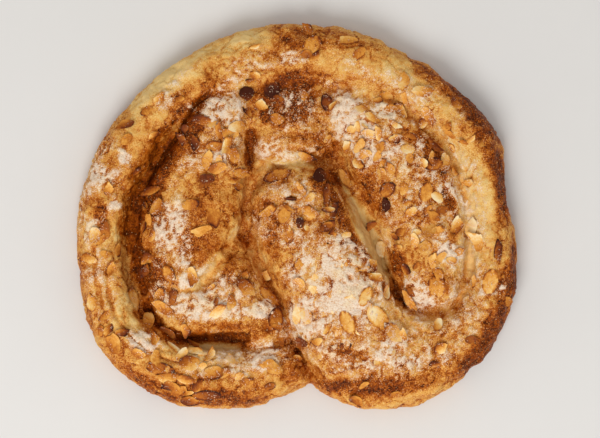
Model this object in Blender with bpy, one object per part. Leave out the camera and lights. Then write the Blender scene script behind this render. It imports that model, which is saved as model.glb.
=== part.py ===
"""Almond kringle: a flat, pretzel-shaped pastry of one filled strip of dough, with large almond slices on it.

The strip starts under the crossing at the front, runs round the left, the back and the right as a thick
rope, comes in over its own start and ends as a broad tongue in the middle. A lump of dough fills each of the
two eyes beside the tongue. All of it bakes together, so the dough is one solid with a flat base. The larger
almond slices are solids of their own that lie a hair above the crust.

Metres, +Z up, +Y to the back. The origin is the centre of the base.
"""

import math
from dataclasses import dataclass

import bmesh
import bpy
import numpy as np
from mathutils import Matrix, Vector
from mathutils.bvhtree import BVHTree


@dataclass(frozen=True)
class Station:
    """One place along a strip of dough: its centre, half of its width, and the height of its crown."""

    x: float
    y: float
    half_width: float
    crown: float


@dataclass(frozen=True)
class Groove:
    """A crease pressed into the crust along a path of points, with its half width and depth."""

    path: tuple
    half_width: float
    depth: float


@dataclass(frozen=True)
class Slice:
    """One large almond slice: its centre, the bearing of its pointed end in degrees, its length and width."""

    x: float
    y: float
    bearing: float
    length: float
    width: float


# Sections of the strips: the level where they are widest, how far they start below the table that trims them,
# how square they are, how many sides they have, how often they are sampled, and how they round off at a tip.
WIDEST_LEVEL = 0.007
BELOW_TABLE = 0.006
SQUARENESS = 2.25
SECTION_SIDES = 24
SAMPLE_STEP = 0.004
TIP_RINGS = 5
FIRST_TIP_RING = 0.35
TIP_REACH = 0.017

# The strips fuse at this voxel size, ease into each other by so many passes of one strength, and are thinned
# to this many triangles.
VOXEL = 0.0016
EASE_STRENGTH = 0.5
EASE_PASSES = 4
DOUGH_TRIANGLES = 7400

# The rope, from its start under the crossing, round the left, the back and the right, to the tongue's end.
STRIP = (
    Station(0.0200, -0.0860, 0.0165, 0.018),
    Station(-0.0080, -0.1015, 0.0172, 0.026),
    Station(-0.0450, -0.1095, 0.0205, 0.030),
    Station(-0.0895, -0.1030, 0.0200, 0.031),
    Station(-0.1215, -0.0770, 0.0180, 0.031),
    Station(-0.1335, -0.0340, 0.0168, 0.030),
    Station(-0.1315, 0.0100, 0.0168, 0.030),
    Station(-0.1145, 0.0485, 0.0178, 0.030),
    Station(-0.0775, 0.0875, 0.0185, 0.029),
    Station(-0.0270, 0.1090, 0.0208, 0.028),
    Station(0.0290, 0.1080, 0.0205, 0.028),
    Station(0.0775, 0.0868, 0.0185, 0.029),
    Station(0.1168, 0.0515, 0.0178, 0.030),
    Station(0.1262, 0.0080, 0.0158, 0.030),
    Station(0.1325, -0.0410, 0.0160, 0.031),
    Station(0.1140, -0.0780, 0.0200, 0.032),
    Station(0.0740, -0.0950, 0.0340, 0.034),
    Station(0.0390, -0.0815, 0.0440, 0.037),
    Station(0.0180, -0.0380, 0.0390, 0.037),
    Station(0.0040, -0.0050, 0.0365, 0.035),
    Station(-0.0030, 0.0180, 0.0300, 0.033),
)

# The lumps that fill the eyes, from the back to the front, the patches that join the left one to the front of
# the rope and the tongue to the back of it, and the thin web of dough that the deepest gaps end on.
LEFT_LUMP = (
    Station(-0.0490, 0.0760, 0.0180, 0.027),
    Station(-0.0600, 0.0480, 0.0280, 0.030),
    Station(-0.0710, 0.0100, 0.0350, 0.031),
    Station(-0.0720, -0.0260, 0.0380, 0.030),
    Station(-0.0600, -0.0640, 0.0440, 0.029),
)
RIGHT_LUMP = (
    Station(0.0360, 0.0760, 0.0240, 0.027),
    Station(0.0620, 0.0540, 0.0370, 0.030),
    Station(0.0790, 0.0240, 0.0350, 0.031),
    Station(0.0870, -0.0080, 0.0310, 0.031),
    Station(0.0915, -0.0480, 0.0240, 0.030),
)
FRONT_PATCH = (
    Station(-0.0450, -0.0600, 0.0240, 0.027),
    Station(-0.0220, -0.0720, 0.0200, 0.026),
)
BACK_PATCH = (
    Station(-0.0080, 0.0880, 0.0330, 0.024),
    Station(-0.0080, 0.0520, 0.0340, 0.027),
)
WEB = (
    Station(-0.1120, -0.0180, 0.0600, 0.009),
    Station(-0.0700, -0.0080, 0.0860, 0.009),
    Station(0.0000, -0.0030, 0.1000, 0.009),
    Station(0.0700, -0.0020, 0.0860, 0.009),
    Station(0.1060, -0.0080, 0.0580, 0.009),
)

GROOVES = (
    # Between the tongue and the left lump, and on to the notch at the front.
    Groove(
        path=((-0.031, 0.056), (-0.033, 0.026), (-0.037, -0.008), (-0.024, -0.034), (-0.010, -0.060)),
        half_width=0.004,
        depth=0.006,
    ),
    Groove(path=((-0.009, -0.064), (-0.004, -0.082), (0.008, -0.106)), half_width=0.005, depth=0.008),
    # The split across the left lump.
    Groove(path=((-0.037, -0.008), (-0.050, -0.028), (-0.066, -0.048)), half_width=0.004, depth=0.006),
    # The edge of the back patch above the end of the tongue.
    Groove(
        path=((-0.030, 0.034), (-0.008, 0.048), (0.012, 0.040), (0.024, 0.032)),
        half_width=0.003,
        depth=0.004,
    ),
    # Between the right lump and the rope.
    Groove(
        path=((0.062, 0.080), (0.094, 0.052), (0.112, 0.018), (0.116, -0.026), (0.106, -0.060)),
        half_width=0.004,
        depth=0.004,
    ),
    # Between the back patch and the rope.
    Groove(
        path=((-0.056, 0.084), (-0.022, 0.088), (0.022, 0.088), (0.050, 0.080)),
        half_width=0.004,
        depth=0.003,
    ),
)

# Almond slices: their thickness, the corners of their outline, how far the middle bulges, where the bulge
# starts as a share of the outline, how pointed the tip is, the air left under each, and a height above all of
# the crust to look down from.
SLICE_THICKNESS = 0.0011
SLICE_CORNERS = 14
SLICE_BULGE = 0.0008
SLICE_SHOULDER = 0.60
SLICE_TAPER = 0.28
SLICE_GAP = 0.0004
ABOVE_ALL = 0.1

SLICES = (
    Slice(-0.0150, 0.0285, 175.0, 0.0200, 0.0105),
    Slice(0.0325, 0.0260, -55.0, 0.0170, 0.0070),
    Slice(0.0910, 0.0360, 15.0, 0.0135, 0.0090),
    Slice(0.0600, 0.0190, 40.0, 0.0125, 0.0095),
    Slice(0.0860, 0.0170, 75.0, 0.0140, 0.0100),
    Slice(0.0930, -0.0470, -70.0, 0.0150, 0.0120),
    Slice(0.0540, -0.0680, -50.0, 0.0200, 0.0120),
    Slice(0.0330, -0.0710, -65.0, 0.0185, 0.0095),
    Slice(0.0450, -0.0530, 60.0, 0.0150, 0.0080),
    Slice(-0.0200, -0.0540, -35.0, 0.0190, 0.0095),
    Slice(-0.0150, -0.0680, 60.0, 0.0165, 0.0120),
    Slice(-0.1130, -0.0560, 65.0, 0.0175, 0.0110),
    Slice(-0.0930, -0.1020, -10.0, 0.0200, 0.0090),
    Slice(-0.0560, 0.0480, 0.0, 0.0135, 0.0075),
    Slice(-0.0390, 0.0300, -5.0, 0.0145, 0.0075),
    Slice(-0.0870, -0.0390, -60.0, 0.0140, 0.0080),
    Slice(0.0190, 0.0780, 100.0, 0.0125, 0.0085),
    Slice(0.0090, 0.1160, 60.0, 0.0160, 0.0120),
    Slice(-0.0620, -0.1200, 5.0, 0.0200, 0.0080),
    Slice(0.1290, -0.0430, 75.0, 0.0180, 0.0110),
)

# Colours, roughness, and the angle in degrees past which an edge is shaded sharp.
DOUGH_COLOUR = (0.55, 0.27, 0.08, 1.0)
DOUGH_ROUGHNESS = 0.5
ALMOND_COLOUR = (0.78, 0.55, 0.28, 1.0)
ALMOND_ROUGHNESS = 0.45
SHARP_ANGLE = 55.0

# Cuts treat points this close to a plane as on it.
ON_PLANE = 1e-6


def clear_scene() -> None:
    """Removes every object that the scene starts with."""
    for old in list(bpy.data.objects):
        bpy.data.objects.remove(old)


def material(name: str, colour: tuple, roughness: float) -> bpy.types.Material:
    """A plain non-metal material of one colour."""
    made = bpy.data.materials.new(name)
    made.use_nodes = True
    shader = made.node_tree.nodes["Principled BSDF"]
    shader.inputs["Base Color"].default_value = colour
    shader.inputs["Roughness"].default_value = roughness
    shader.inputs["Metallic"].default_value = 0.0
    return made


def show(name: str, mesh: bpy.types.Mesh, finish: bpy.types.Material = None) -> bpy.types.Object:
    """An object of that name that holds the mesh, linked to the scene and, with a finish, smooth-shaded."""
    made = bpy.data.objects.new(name, mesh)
    if finish:
        mesh.materials.append(finish)
        mesh.shade_smooth()
        mesh.set_sharp_from_angle(angle=math.radians(SHARP_ANGLE))
    bpy.context.scene.collection.objects.link(made)
    return made


def evaluated(source: bpy.types.Object) -> bpy.types.Mesh:
    """The object's mesh with its modifiers applied."""
    bpy.context.view_layer.update()
    graph = bpy.context.evaluated_depsgraph_get()
    return bpy.data.meshes.new_from_object(source.evaluated_get(graph))


def through(before, start, end, after, share: float):
    """A point on the smooth curve from start to end, whose slopes follow the points before and after."""
    return 0.5 * (
        2 * start
        + (end - before) * share
        + (2 * before - 5 * start + 4 * end - after) * share**2
        + (3 * start - before - 3 * end + after) * share**3
    )


def smooth_run(points: list, step: float) -> list:
    """The vectors of a smooth curve through all the points, about one step apart in plan."""
    rows = [Vector(p) for p in points]
    padded = [2 * rows[0] - rows[1], *rows, 2 * rows[-1] - rows[-2]]
    run = []
    for before, start, end, after in zip(padded, padded[1:], padded[2:], padded[3:]):
        pieces = max(1, round((end.xy - start.xy).length / step))
        run += [through(before, start, end, after, k / pieces) for k in range(pieces)]
    return [*run, rows[-1]]


def section_point(angle: float) -> tuple:
    """(offset, level) of a strip's section at an angle, both from -1 to 1."""
    power = 2 / SQUARENESS
    across, up = math.cos(angle), math.sin(angle)
    return math.copysign(abs(across) ** power, across), math.copysign(abs(up) ** power, up)


def place_ring(ring: list, centre: Vector, slope: Vector, place: Vector, swell: float) -> None:
    """Lays a ring of vertices round a centre on a strip's section there.

    place holds the station's x, y, half width and crown, and swell shrinks the section at the strip's tips.
    """
    side = Vector((-slope.y, slope.x))
    for k, vertex in enumerate(ring):
        offset, level = section_point(2 * math.pi * k / SECTION_SIDES)
        reach = (place[3] - WIDEST_LEVEL) if level > 0 else (WIDEST_LEVEL + BELOW_TABLE)
        vertex.co.xy = centre + side * (offset * place[2] * swell)
        vertex.co.z = WIDEST_LEVEL + level * reach * swell


def next_ring(shape: bmesh.types.BMesh, ring: list) -> list:
    """Extrudes a ring of vertices, and returns the new ring in the same order."""
    edges = [shape.edges.get((a, b)) for a, b in zip(ring, ring[1:] + ring[:1])]
    grown = bmesh.ops.extrude_edge_only(shape, edges=edges)["geom"]
    fresh = {v for v in grown if isinstance(v, bmesh.types.BMVert)}
    return [next(e.other_vert(v) for e in v.link_edges if e.other_vert(v) in fresh) for v in ring]


def add_strip(shape: bmesh.types.BMesh, stations: tuple) -> None:
    """Adds one closed strip of dough that runs through the stations and rounds off at both tips."""
    run = smooth_run([(s.x, s.y, s.half_width, s.crown) for s in stations], SAMPLE_STEP)
    slopes = [(b.xy - a.xy).normalized() for a, b in zip(run, run[1:])]
    slopes.append(slopes[-1])
    rings = []
    turns = [math.radians(90 * (k + FIRST_TIP_RING) / TIP_RINGS) for k in range(TIP_RINGS)]
    for turn in turns:
        back = run[0].xy - slopes[0] * (TIP_REACH * math.cos(turn))
        rings.append((back, slopes[0], run[0], math.sin(turn)))
    rings += [(place.xy, slope, place, 1.0) for place, slope in zip(run, slopes)]
    for turn in reversed(turns):
        on = run[-1].xy + slopes[-1] * (TIP_REACH * math.cos(turn))
        rings.append((on, slopes[-1], run[-1], math.sin(turn)))
    ring = bmesh.ops.create_circle(shape, segments=SECTION_SIDES, radius=TIP_REACH)["verts"]
    first = ring
    for k, (centre, slope, place, swell) in enumerate(rings):
        if k:
            ring = next_ring(shape, ring)
        place_ring(ring, centre, slope, place, swell)
    shape.faces.new(first)
    shape.faces.new(reversed(ring))


def fused(shape: bmesh.types.BMesh) -> bpy.types.Mesh:
    """The strips' common skin, as one closed mesh of small even faces."""
    loose = bpy.data.meshes.new("strips")
    shape.to_mesh(loose)
    shape.free()
    holder = show("strips", loose)
    remesh = holder.modifiers.new("fuse", "REMESH")
    remesh.mode = "VOXEL"
    remesh.voxel_size = VOXEL
    skin = evaluated(holder)
    bpy.data.objects.remove(holder)
    return skin


def press(mesh: bpy.types.Mesh, groove: Groove) -> None:
    """Lowers the crust along the groove's path."""
    count = len(mesh.vertices)
    flat = np.empty(count * 3)
    mesh.vertices.foreach_get("co", flat)
    points = flat.reshape(-1, 3)
    near = np.full(count, np.inf)
    for place in smooth_run([(x, y, 0.0) for x, y in groove.path], groove.half_width / 4):
        near = np.minimum(near, np.hypot(points[:, 0] - place.x, points[:, 1] - place.y))
    share = np.clip(points[:, 2] / WIDEST_LEVEL - 1, 0, 1)
    points[:, 2] -= groove.depth * share * np.exp(-((near / groove.half_width) ** 2))
    mesh.vertices.foreach_set("co", points.ravel())


def thinned(mesh: bpy.types.Mesh) -> bpy.types.Mesh:
    """The skin with its creases eased, and then with fewer triangles where it is flat."""
    holder = show("thinned", mesh)
    ease = holder.modifiers.new("ease", "SMOOTH")
    ease.factor = EASE_STRENGTH
    ease.iterations = EASE_PASSES
    thin = holder.modifiers.new("thin", "DECIMATE")
    thin.ratio = DOUGH_TRIANGLES / (2 * len(mesh.polygons))
    made = evaluated(holder)
    bpy.data.objects.remove(holder)
    return made


def keep_outer_skin(shape: bmesh.types.BMesh) -> None:
    """Drops the scraps of skin round small pockets inside the dough."""
    left = set(shape.verts)
    skins = []
    while left:
        skin = {next(iter(left))}
        front = skin
        while front:
            front = {e.other_vert(v) for v in front for e in v.link_edges} - skin
            skin = skin | front
        left -= skin
        skins.append(skin)
    skins.sort(key=len)
    scraps = [v for skin in skins[:-1] for v in skin]
    bmesh.ops.delete(shape, geom=scraps, context="VERTS")


def cut_below(mesh: bpy.types.Mesh, level: float, close: bool) -> None:
    """Cuts off what lies below a level, and closes the cut with a flat face if asked."""
    shape = bmesh.new()
    shape.from_mesh(mesh)
    everything = [*shape.verts, *shape.edges, *shape.faces]
    bmesh.ops.bisect_plane(
        shape, geom=everything, dist=ON_PLANE, plane_co=(0, 0, level), plane_no=(0, 0, -1), clear_outer=True
    )
    keep_outer_skin(shape)
    if close:
        bmesh.ops.holes_fill(shape, edges=[e for e in shape.edges if e.is_boundary], sides=0)
        bmesh.ops.recalc_face_normals(shape, faces=shape.faces)
    shape.to_mesh(mesh)
    shape.free()


def make_dough(finish: bpy.types.Material) -> bpy.types.Object:
    """The whole baked dough as one solid."""
    shape = bmesh.new()
    for stations in (WEB, BACK_PATCH, FRONT_PATCH, LEFT_LUMP, RIGHT_LUMP, STRIP):
        add_strip(shape, stations)
    skin = fused(shape)
    for groove in GROOVES:
        press(skin, groove)
    cut_below(skin, -VOXEL, close=False)
    mesh = thinned(skin)
    cut_below(mesh, 0.0, close=True)
    mesh.name = "kringle_dough"
    return show("kringle_dough", mesh, finish)


def almond_point(share: float, turn: float) -> tuple:
    """A point of an almond's outline at a share of its size, for a length and width of 1, tip towards +X."""
    reach = math.cos(turn)
    taper = 1 - SLICE_TAPER * max(0.0, reach) ** 2
    return share * reach / 2, share * math.sin(turn) * taper / 2


def slice_shape(kind: Slice) -> bmesh.types.BMesh:
    """One slice at the origin: two rings and a middle point bulge up, then get the slice's thickness."""
    shape = bmesh.new()
    for share in (1.0, SLICE_SHOULDER):
        ring = bmesh.ops.create_circle(shape, segments=SLICE_CORNERS, radius=share)["verts"]
        for k, vertex in enumerate(ring):
            along, across = almond_point(share, 2 * math.pi * k / SLICE_CORNERS)
            vertex.co = (along * kind.length, across * kind.width, SLICE_BULGE * (1 - share**2))
    bmesh.ops.bridge_loops(shape, edges=shape.edges[:])
    middle = shape.faces.new(ring)
    bmesh.ops.poke(shape, faces=[middle])["verts"][0].co.z = SLICE_BULGE
    bmesh.ops.recalc_face_normals(shape, faces=shape.faces)
    bmesh.ops.solidify(shape, geom=shape.faces[:], thickness=SLICE_THICKNESS)
    bmesh.ops.recalc_face_normals(shape, faces=shape.faces)
    return shape


def crust_below(crust: BVHTree, x: float, y: float) -> Vector:
    """The point of the crust straight below (or above) a place."""
    return crust.ray_cast(Vector((x, y, ABOVE_ALL)), Vector((0, 0, -1)))[0]


def lean_of(crust: BVHTree, kind: Slice) -> Matrix:
    """The turn that leans a slice with the crust, read from its height at the four ends of the slice."""
    turn = Matrix.Rotation(math.radians(kind.bearing), 3, "Z")
    along = turn @ Vector((kind.length / 2, 0, 0))
    across = turn @ Vector((0, kind.width / 2, 0))
    head, foot = (crust_below(crust, kind.x + s * along.x, kind.y + s * along.y) for s in (1, -1))
    left, right = (crust_below(crust, kind.x + s * across.x, kind.y + s * across.y) for s in (1, -1))
    up = (head - foot).cross(left - right).normalized()
    return Vector((0, 0, 1)).rotation_difference(up).to_matrix() @ turn


def lay(shape: bmesh.types.BMesh, kind: Slice, crust: BVHTree) -> None:
    """Turns and leans a slice, and lowers it until its closest point is one gap above the crust."""
    bmesh.ops.transform(shape, matrix=lean_of(crust, kind).to_4x4(), verts=shape.verts)
    bmesh.ops.translate(shape, verts=shape.verts, vec=(kind.x, kind.y, 0))
    spots = [v.co for v in shape.verts] + [f.calc_center_median() for f in shape.faces]
    lift = max(crust_below(crust, spot.x, spot.y).z - spot.z for spot in spots)
    bmesh.ops.translate(shape, verts=shape.verts, vec=(0, 0, lift + SLICE_GAP))


def make_slice(number: int, kind: Slice, crust: BVHTree, finish: bpy.types.Material) -> bpy.types.Object:
    """One large almond slice, lying just above the crust."""
    name = f"almond_slice_{number:02d}"
    shape = slice_shape(kind)
    lay(shape, kind, crust)
    mesh = bpy.data.meshes.new(name)
    shape.to_mesh(mesh)
    shape.free()
    return show(name, mesh, finish)


def centre_over_origin(pieces: list) -> None:
    """Shifts every piece's mesh so that the middle of the first one's box is over the origin."""
    places = [v.co for v in pieces[0].data.vertices]
    middle = [(min(p[k] for p in places) + max(p[k] for p in places)) / 2 for k in (0, 1)]
    shift = Matrix.Translation((-middle[0], -middle[1], 0))
    for piece in pieces:
        piece.data.transform(shift)


def main() -> None:
    """Builds the dough and then lays the slices on it."""
    clear_scene()
    dough = make_dough(material("baked_dough", DOUGH_COLOUR, DOUGH_ROUGHNESS))
    shape = bmesh.new()
    shape.from_mesh(dough.data)
    crust = BVHTree.FromBMesh(shape)
    shape.free()
    almond = material("toasted_almond", ALMOND_COLOUR, ALMOND_ROUGHNESS)
    slices = [make_slice(k, kind, crust, almond) for k, kind in enumerate(SLICES, start=1)]
    centre_over_origin([dough, *slices])


main()
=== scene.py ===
"""The looks of an almond kringle: its crust, the slices and flakes of almond on it, its sugar, and a studio.

Every place on the pastry is given in shares of half of the dough's box: u runs from -1 at the left to 1 at
the right, and v from -1 at the front to 1 at the back. Lengths are in metres, unless a comment says
millimetres, and bearings are in degrees from +X.
"""

import logging
import math
from dataclasses import dataclass
from enum import Enum
from typing import Union

import bmesh
import bpy
import numpy as np
from mathutils import Matrix, Vector, noise
from mathutils.bvhtree import BVHTree


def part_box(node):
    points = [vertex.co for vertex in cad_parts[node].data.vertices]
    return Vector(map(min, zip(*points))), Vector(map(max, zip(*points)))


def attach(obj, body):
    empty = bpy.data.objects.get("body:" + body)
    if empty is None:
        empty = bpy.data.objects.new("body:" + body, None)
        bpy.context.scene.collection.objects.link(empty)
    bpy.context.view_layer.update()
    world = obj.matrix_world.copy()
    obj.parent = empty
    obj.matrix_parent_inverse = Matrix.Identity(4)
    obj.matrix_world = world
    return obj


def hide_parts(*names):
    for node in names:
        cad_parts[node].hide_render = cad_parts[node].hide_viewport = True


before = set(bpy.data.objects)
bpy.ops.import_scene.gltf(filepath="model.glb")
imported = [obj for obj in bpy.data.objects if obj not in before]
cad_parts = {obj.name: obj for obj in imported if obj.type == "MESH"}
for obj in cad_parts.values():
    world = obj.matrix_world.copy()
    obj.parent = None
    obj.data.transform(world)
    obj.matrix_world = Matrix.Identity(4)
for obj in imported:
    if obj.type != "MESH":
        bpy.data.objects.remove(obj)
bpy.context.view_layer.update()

LOG = logging.getLogger("kringle")
BODY = "root"
NOISE_SEED = 95
DOUGH_NODE = "kringle_dough"
SLICE_NODES = sorted(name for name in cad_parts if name.startswith("almond_slice"))

# Blender sets this seed from the clock, and noise_vector depends on it.
noise.seed_set(NOISE_SEED)


# ---------------------------------------------------------------- places and fields


@dataclass(frozen=True)
class Plan:
    """The pastry's plan: turns shares of half of the dough's box into metres."""

    middle: tuple
    half: tuple

    @classmethod
    def of_node(cls, node: str) -> "Plan":
        """The plan that a CAD node's box gives."""
        low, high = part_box(node)
        return cls(tuple((low + high) / 2)[:2], tuple((high - low) / 2)[:2])

    def at(self, u: float, v: float) -> np.ndarray:
        """The place of a pair of shares, in metres."""
        return np.array([self.middle[0] + u * self.half[0], self.middle[1] + v * self.half[1]])


PLAN = Plan.of_node(DOUGH_NODE)

# How far a patch and a streak reach, and over how much they fade, as shares of their half widths.
PATCH_EDGE, PATCH_FADE = 1.35, 0.8
STREAK_EDGE, STREAK_FADE = 1.6, 1.2
# The share of a path over which each of its ends fades.
END_SHARE = 0.1


class Tint(Enum):
    """What a patch changes on the crust. The value is the name of the mesh attribute that holds it."""

    # This tint darkens the crust where it is browned, and in places also as painted shade: in the slit, the
    # gap, hollows, creases and round the nuts.
    BAKE_AND_SHADE = "bake_and_shade"
    SUGAR = "sugar"
    NUTS = "nuts"
    CALM = "calm"


@dataclass(frozen=True)
class Patch:
    """A soft-edged oval on the crust.

    u and v are its centre in shares, long and wide its half lengths, bearing the direction of the long one,
    and amount what it adds in its middle.
    """

    u: float
    v: float
    long: float
    wide: float
    bearing: float
    amount: float

    def mask(self, places: np.ndarray) -> np.ndarray:
        """How much of the patch is at each place, from 0 to 1.

        Args:
            places: x and y of each place, in metres.

        Returns:
            One number for each place.
        """
        along, across = along_and_across(places, PLAN.at(self.u, self.v), self.bearing)
        reach = np.hypot(along / self.long, across / self.wide)
        return smooth_step((PATCH_EDGE - reach) / PATCH_FADE)


def patches(*rows: tuple) -> tuple:
    """Patches from rows of u, v, half length and half width in millimetres, bearing and amount."""
    return tuple(Patch(u, v, long / 1000, wide / 1000, *rest) for u, v, long, wide, *rest in rows)


@dataclass(frozen=True)
class Streak:
    """A soft line of one tint along a smooth path on the crust.

    path holds (u, v) shares, half_width is in metres, and amount is what the line adds in its middle.
    """

    tint: Tint
    path: tuple
    half_width: float
    amount: float

    def mask(self, places: np.ndarray) -> np.ndarray:
        """How much of the line is at each place, from 0 to 1.

        Args:
            places: x and y of each place, in metres.

        Returns:
            One number for each place.
        """
        aside, passed = near_path(places, smooth_path(self.path, 0.004))
        return smooth_step((STREAK_EDGE - np.abs(aside) / self.half_width) / STREAK_FADE) * ends_fade(passed)


class Cut(Enum):
    """The section of a stroke across its path."""

    VALLEY = "a rounded crease"
    SLOT = "a steep-sided slot with a flat floor"
    LEDGE = "a step down on the left of the path that fades out"
    RIDGE = "a raised line"


@dataclass(frozen=True)
class Stroke:
    """A crease, slot, ledge or ridge along a smooth path on the crust.

    path holds (u, v) shares, and half_width and depth are in metres. Its ends fade out.
    """

    cut: Cut
    path: tuple
    half_width: float
    depth: float


def smooth_step(share: np.ndarray) -> np.ndarray:
    """0 below 0, 1 above 1, and an S-shaped rise between."""
    held = np.clip(share, 0.0, 1.0)
    return held * held * (3 - 2 * held)


def ends_fade(passed: np.ndarray) -> np.ndarray:
    """1 along a path, falling to 0 over a short stretch at each end."""
    return smooth_step(passed / END_SHARE) * smooth_step((1 - passed) / END_SHARE)


def heading(bearing: float) -> np.ndarray:
    """The plan's direction at a bearing."""
    turn = math.radians(bearing)
    return np.array([math.cos(turn), math.sin(turn)])


def along_and_across(places: np.ndarray, middle: np.ndarray, bearing: float) -> tuple:
    """How far each place lies from a middle, along a bearing and to the left of it.

    Args:
        places: x and y of each place.
        middle: the place to measure from.
        bearing: the direction, in degrees.

    Returns:
        The two distances of each place.
    """
    ahead = heading(bearing)
    offset = places - middle
    return offset @ ahead, offset @ np.array([-ahead[1], ahead[0]])


def smooth_path(path: tuple, step: float) -> np.ndarray:
    """A smooth curve through places.

    Args:
        path: the places as (u, v) shares.
        step: the distance between the curve's points.

    Returns:
        The curve's points in metres, one a row.
    """
    rows = [PLAN.at(*place) for place in path]
    rows = [2 * rows[0] - rows[1], *rows, 2 * rows[-1] - rows[-2]]
    run = []
    for a, b, c, d in zip(rows, rows[1:], rows[2:], rows[3:]):
        count = max(2, int(np.linalg.norm(c - b) / step))
        t = (np.arange(count) / count)[:, None]
        bend = (2 * a - 5 * b + 4 * c - d) * t**2 + (3 * b - a - 3 * c + d) * t**3
        run.append(0.5 * (2 * b + (c - a) * t + bend))
    return np.vstack([*run, rows[-2][None]])


def near_path(places: np.ndarray, path: np.ndarray) -> tuple:
    """How places lie beside a path.

    Args:
        places: x and y of each place.
        path: x and y of the path's points.

    Returns:
        The signed distance, positive on the left of the path, and the share of the path passed.
    """
    best = np.full(len(places), np.inf)
    side = np.zeros(len(places))
    passed = np.zeros(len(places))
    for k, (start, end) in enumerate(zip(path, path[1:])):
        run = end - start
        offset = places - start
        t = np.clip(offset @ run / (run @ run), 0, 1)
        away = offset - t[:, None] * run
        far = np.hypot(away[:, 0], away[:, 1])
        closer = far < best
        best[closer] = far[closer]
        side[closer] = np.sign(run[0] * offset[closer, 1] - run[1] * offset[closer, 0])
        passed[closer] = (k + t[closer]) / (len(path) - 1)
    return best * np.where(side == 0, 1, side), passed


def fractal(places: np.ndarray, octaves: int) -> np.ndarray:
    """Even noise at each place, about -1 to 1, with finer layers added.

    Args:
        places: the places, one a row.
        octaves: how many layers there are, each about half the size of the last.

    Returns:
        One number for each place.
    """
    basis = "PERLIN_ORIGINAL"
    return np.array([noise.fractal(Vector(p), 0.9, 2.1, octaves, noise_basis=basis) for p in places])


@dataclass(frozen=True)
class Grain:
    """A layer of noise: its largest lumps' size, its finer layers, its reach, and a shift of its own."""

    size: float
    octaves: int
    reach: float
    shift: float

    def over(self, points: np.ndarray) -> np.ndarray:
        """The layer's value at each point, about -reach to reach."""
        return self.reach * fractal(points / self.size + self.shift, self.octaves)


# ---------------------------------------------------------------- shader graphs

Socket = bpy.types.NodeSocket
# What a node's input takes: a socket to join to it, or a value.
Input = Union[Socket, float, tuple]


class Graph:
    """Adds nodes to a node tree and joins them."""

    def __init__(self, tree: bpy.types.NodeTree) -> None:
        """Starts on a tree."""
        self.tree = tree

    def link(self, source: Socket, target: Socket) -> None:
        """Joins an output to an input."""
        self.tree.links.new(source, target)

    def fill(self, node: bpy.types.Node, inputs: dict) -> None:
        """Joins sockets to a node's inputs or sets their values, by name or number.

        Args:
            node: the node.
            inputs: a socket or a value for each input, by its name or number.
        """
        for name, value in inputs.items():
            if isinstance(value, Socket):
                self.link(value, node.inputs[name])
            else:
                node.inputs[name].default_value = value

    def add(self, kind: str, inputs: dict = None, **settings: object) -> bpy.types.Node:
        """Adds a node.

        Args:
            kind: the node's type.
            inputs: values or sockets for its inputs, by name or number.
            settings: its other properties.

        Returns:
            The node.
        """
        node = self.tree.nodes.new(kind)
        for name, value in settings.items():
            setattr(node, name, value)
        self.fill(node, inputs or {})
        return node

    def math(self, operation: str, *values: Input) -> Socket:
        """A Math node's output over two or three values or sockets.

        Args:
            operation: the node's operation.
            values: its inputs in order.

        Returns:
            The socket.
        """
        return self.add("ShaderNodeMath", dict(enumerate(values)), operation=operation).outputs[0]

    def span(
        self, value: Input, low: float, high: float, to_low: float = 0.0, to_high: float = 1.0
    ) -> Socket:
        """A socket that goes smoothly from to_low to to_high as the value goes from low to high.

        Args:
            value: what is mapped.
            low: where the rise starts.
            high: where it ends.
            to_low: the result up to low.
            to_high: the result from high.

        Returns:
            The socket.
        """
        inputs = {"Value": value, "From Min": low, "From Max": high, "To Min": to_low, "To Max": to_high}
        return self.add("ShaderNodeMapRange", inputs, interpolation_type="SMOOTHSTEP").outputs[0]

    def blend(self, share: Input, first: Input, second: Input, mode: str = "MIX") -> Socket:
        """A colour mix of first and second.

        Args:
            share: the second one's share.
            first: the colour at a share of 0.
            second: the colour at a share of 1.
            mode: how the two are mixed.

        Returns:
            The socket.
        """
        inputs = {0: share, 6: first, 7: second}
        return self.add("ShaderNodeMix", inputs, data_type="RGBA", blend_type=mode).outputs[2]

    def noise(
        self, place: Socket, scale: Input, detail: float, roughness: float = 0.6, distortion: float = 0.0
    ) -> Socket:
        """A Noise Texture's value over a place.

        Args:
            place: the point's place, as a socket.
            scale: lumps in a metre.
            detail: finer layers.
            roughness: how strong the finer layers are.
            distortion: how far the lumps are pulled about.

        Returns:
            The socket.
        """
        inputs = {"Vector": place, "Scale": scale, "Detail": detail}
        inputs |= {"Roughness": roughness, "Distortion": distortion}
        return self.add("ShaderNodeTexNoise", inputs).outputs["Fac"]

    def attribute(self, name: str) -> Socket:
        """A mesh attribute's value."""
        return self.add("ShaderNodeAttribute", attribute_name=name).outputs["Fac"]

    def bump(self, shader: bpy.types.Node, height: Socket, strength: float, distance: float) -> None:
        """Gives a shader fine relief from a height.

        Args:
            shader: the shader node.
            height: the height, as a socket.
            strength: how much of the relief shows.
            distance: how high a height of 1 is, in metres.
        """
        node = self.add("ShaderNodeBump", {"Height": height, "Strength": strength, "Distance": distance})
        self.link(node.outputs[0], shader.inputs["Normal"])

    def ramp(self, value: Socket, stops: tuple) -> Socket:
        """A colour ramp's output, with (position, colour) stops.

        Args:
            value: the place on the ramp.
            stops: the position and colour of each stop, in order.

        Returns:
            The socket.
        """
        node = self.add("ShaderNodeValToRGB", {0: value})
        band = node.color_ramp.elements
        while len(band) < len(stops):
            band.new(0.5)
        for element, (position, colour) in zip(band, stops):
            element.position = position
            element.color = (*colour, 1.0)
        return node.outputs[0]


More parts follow.
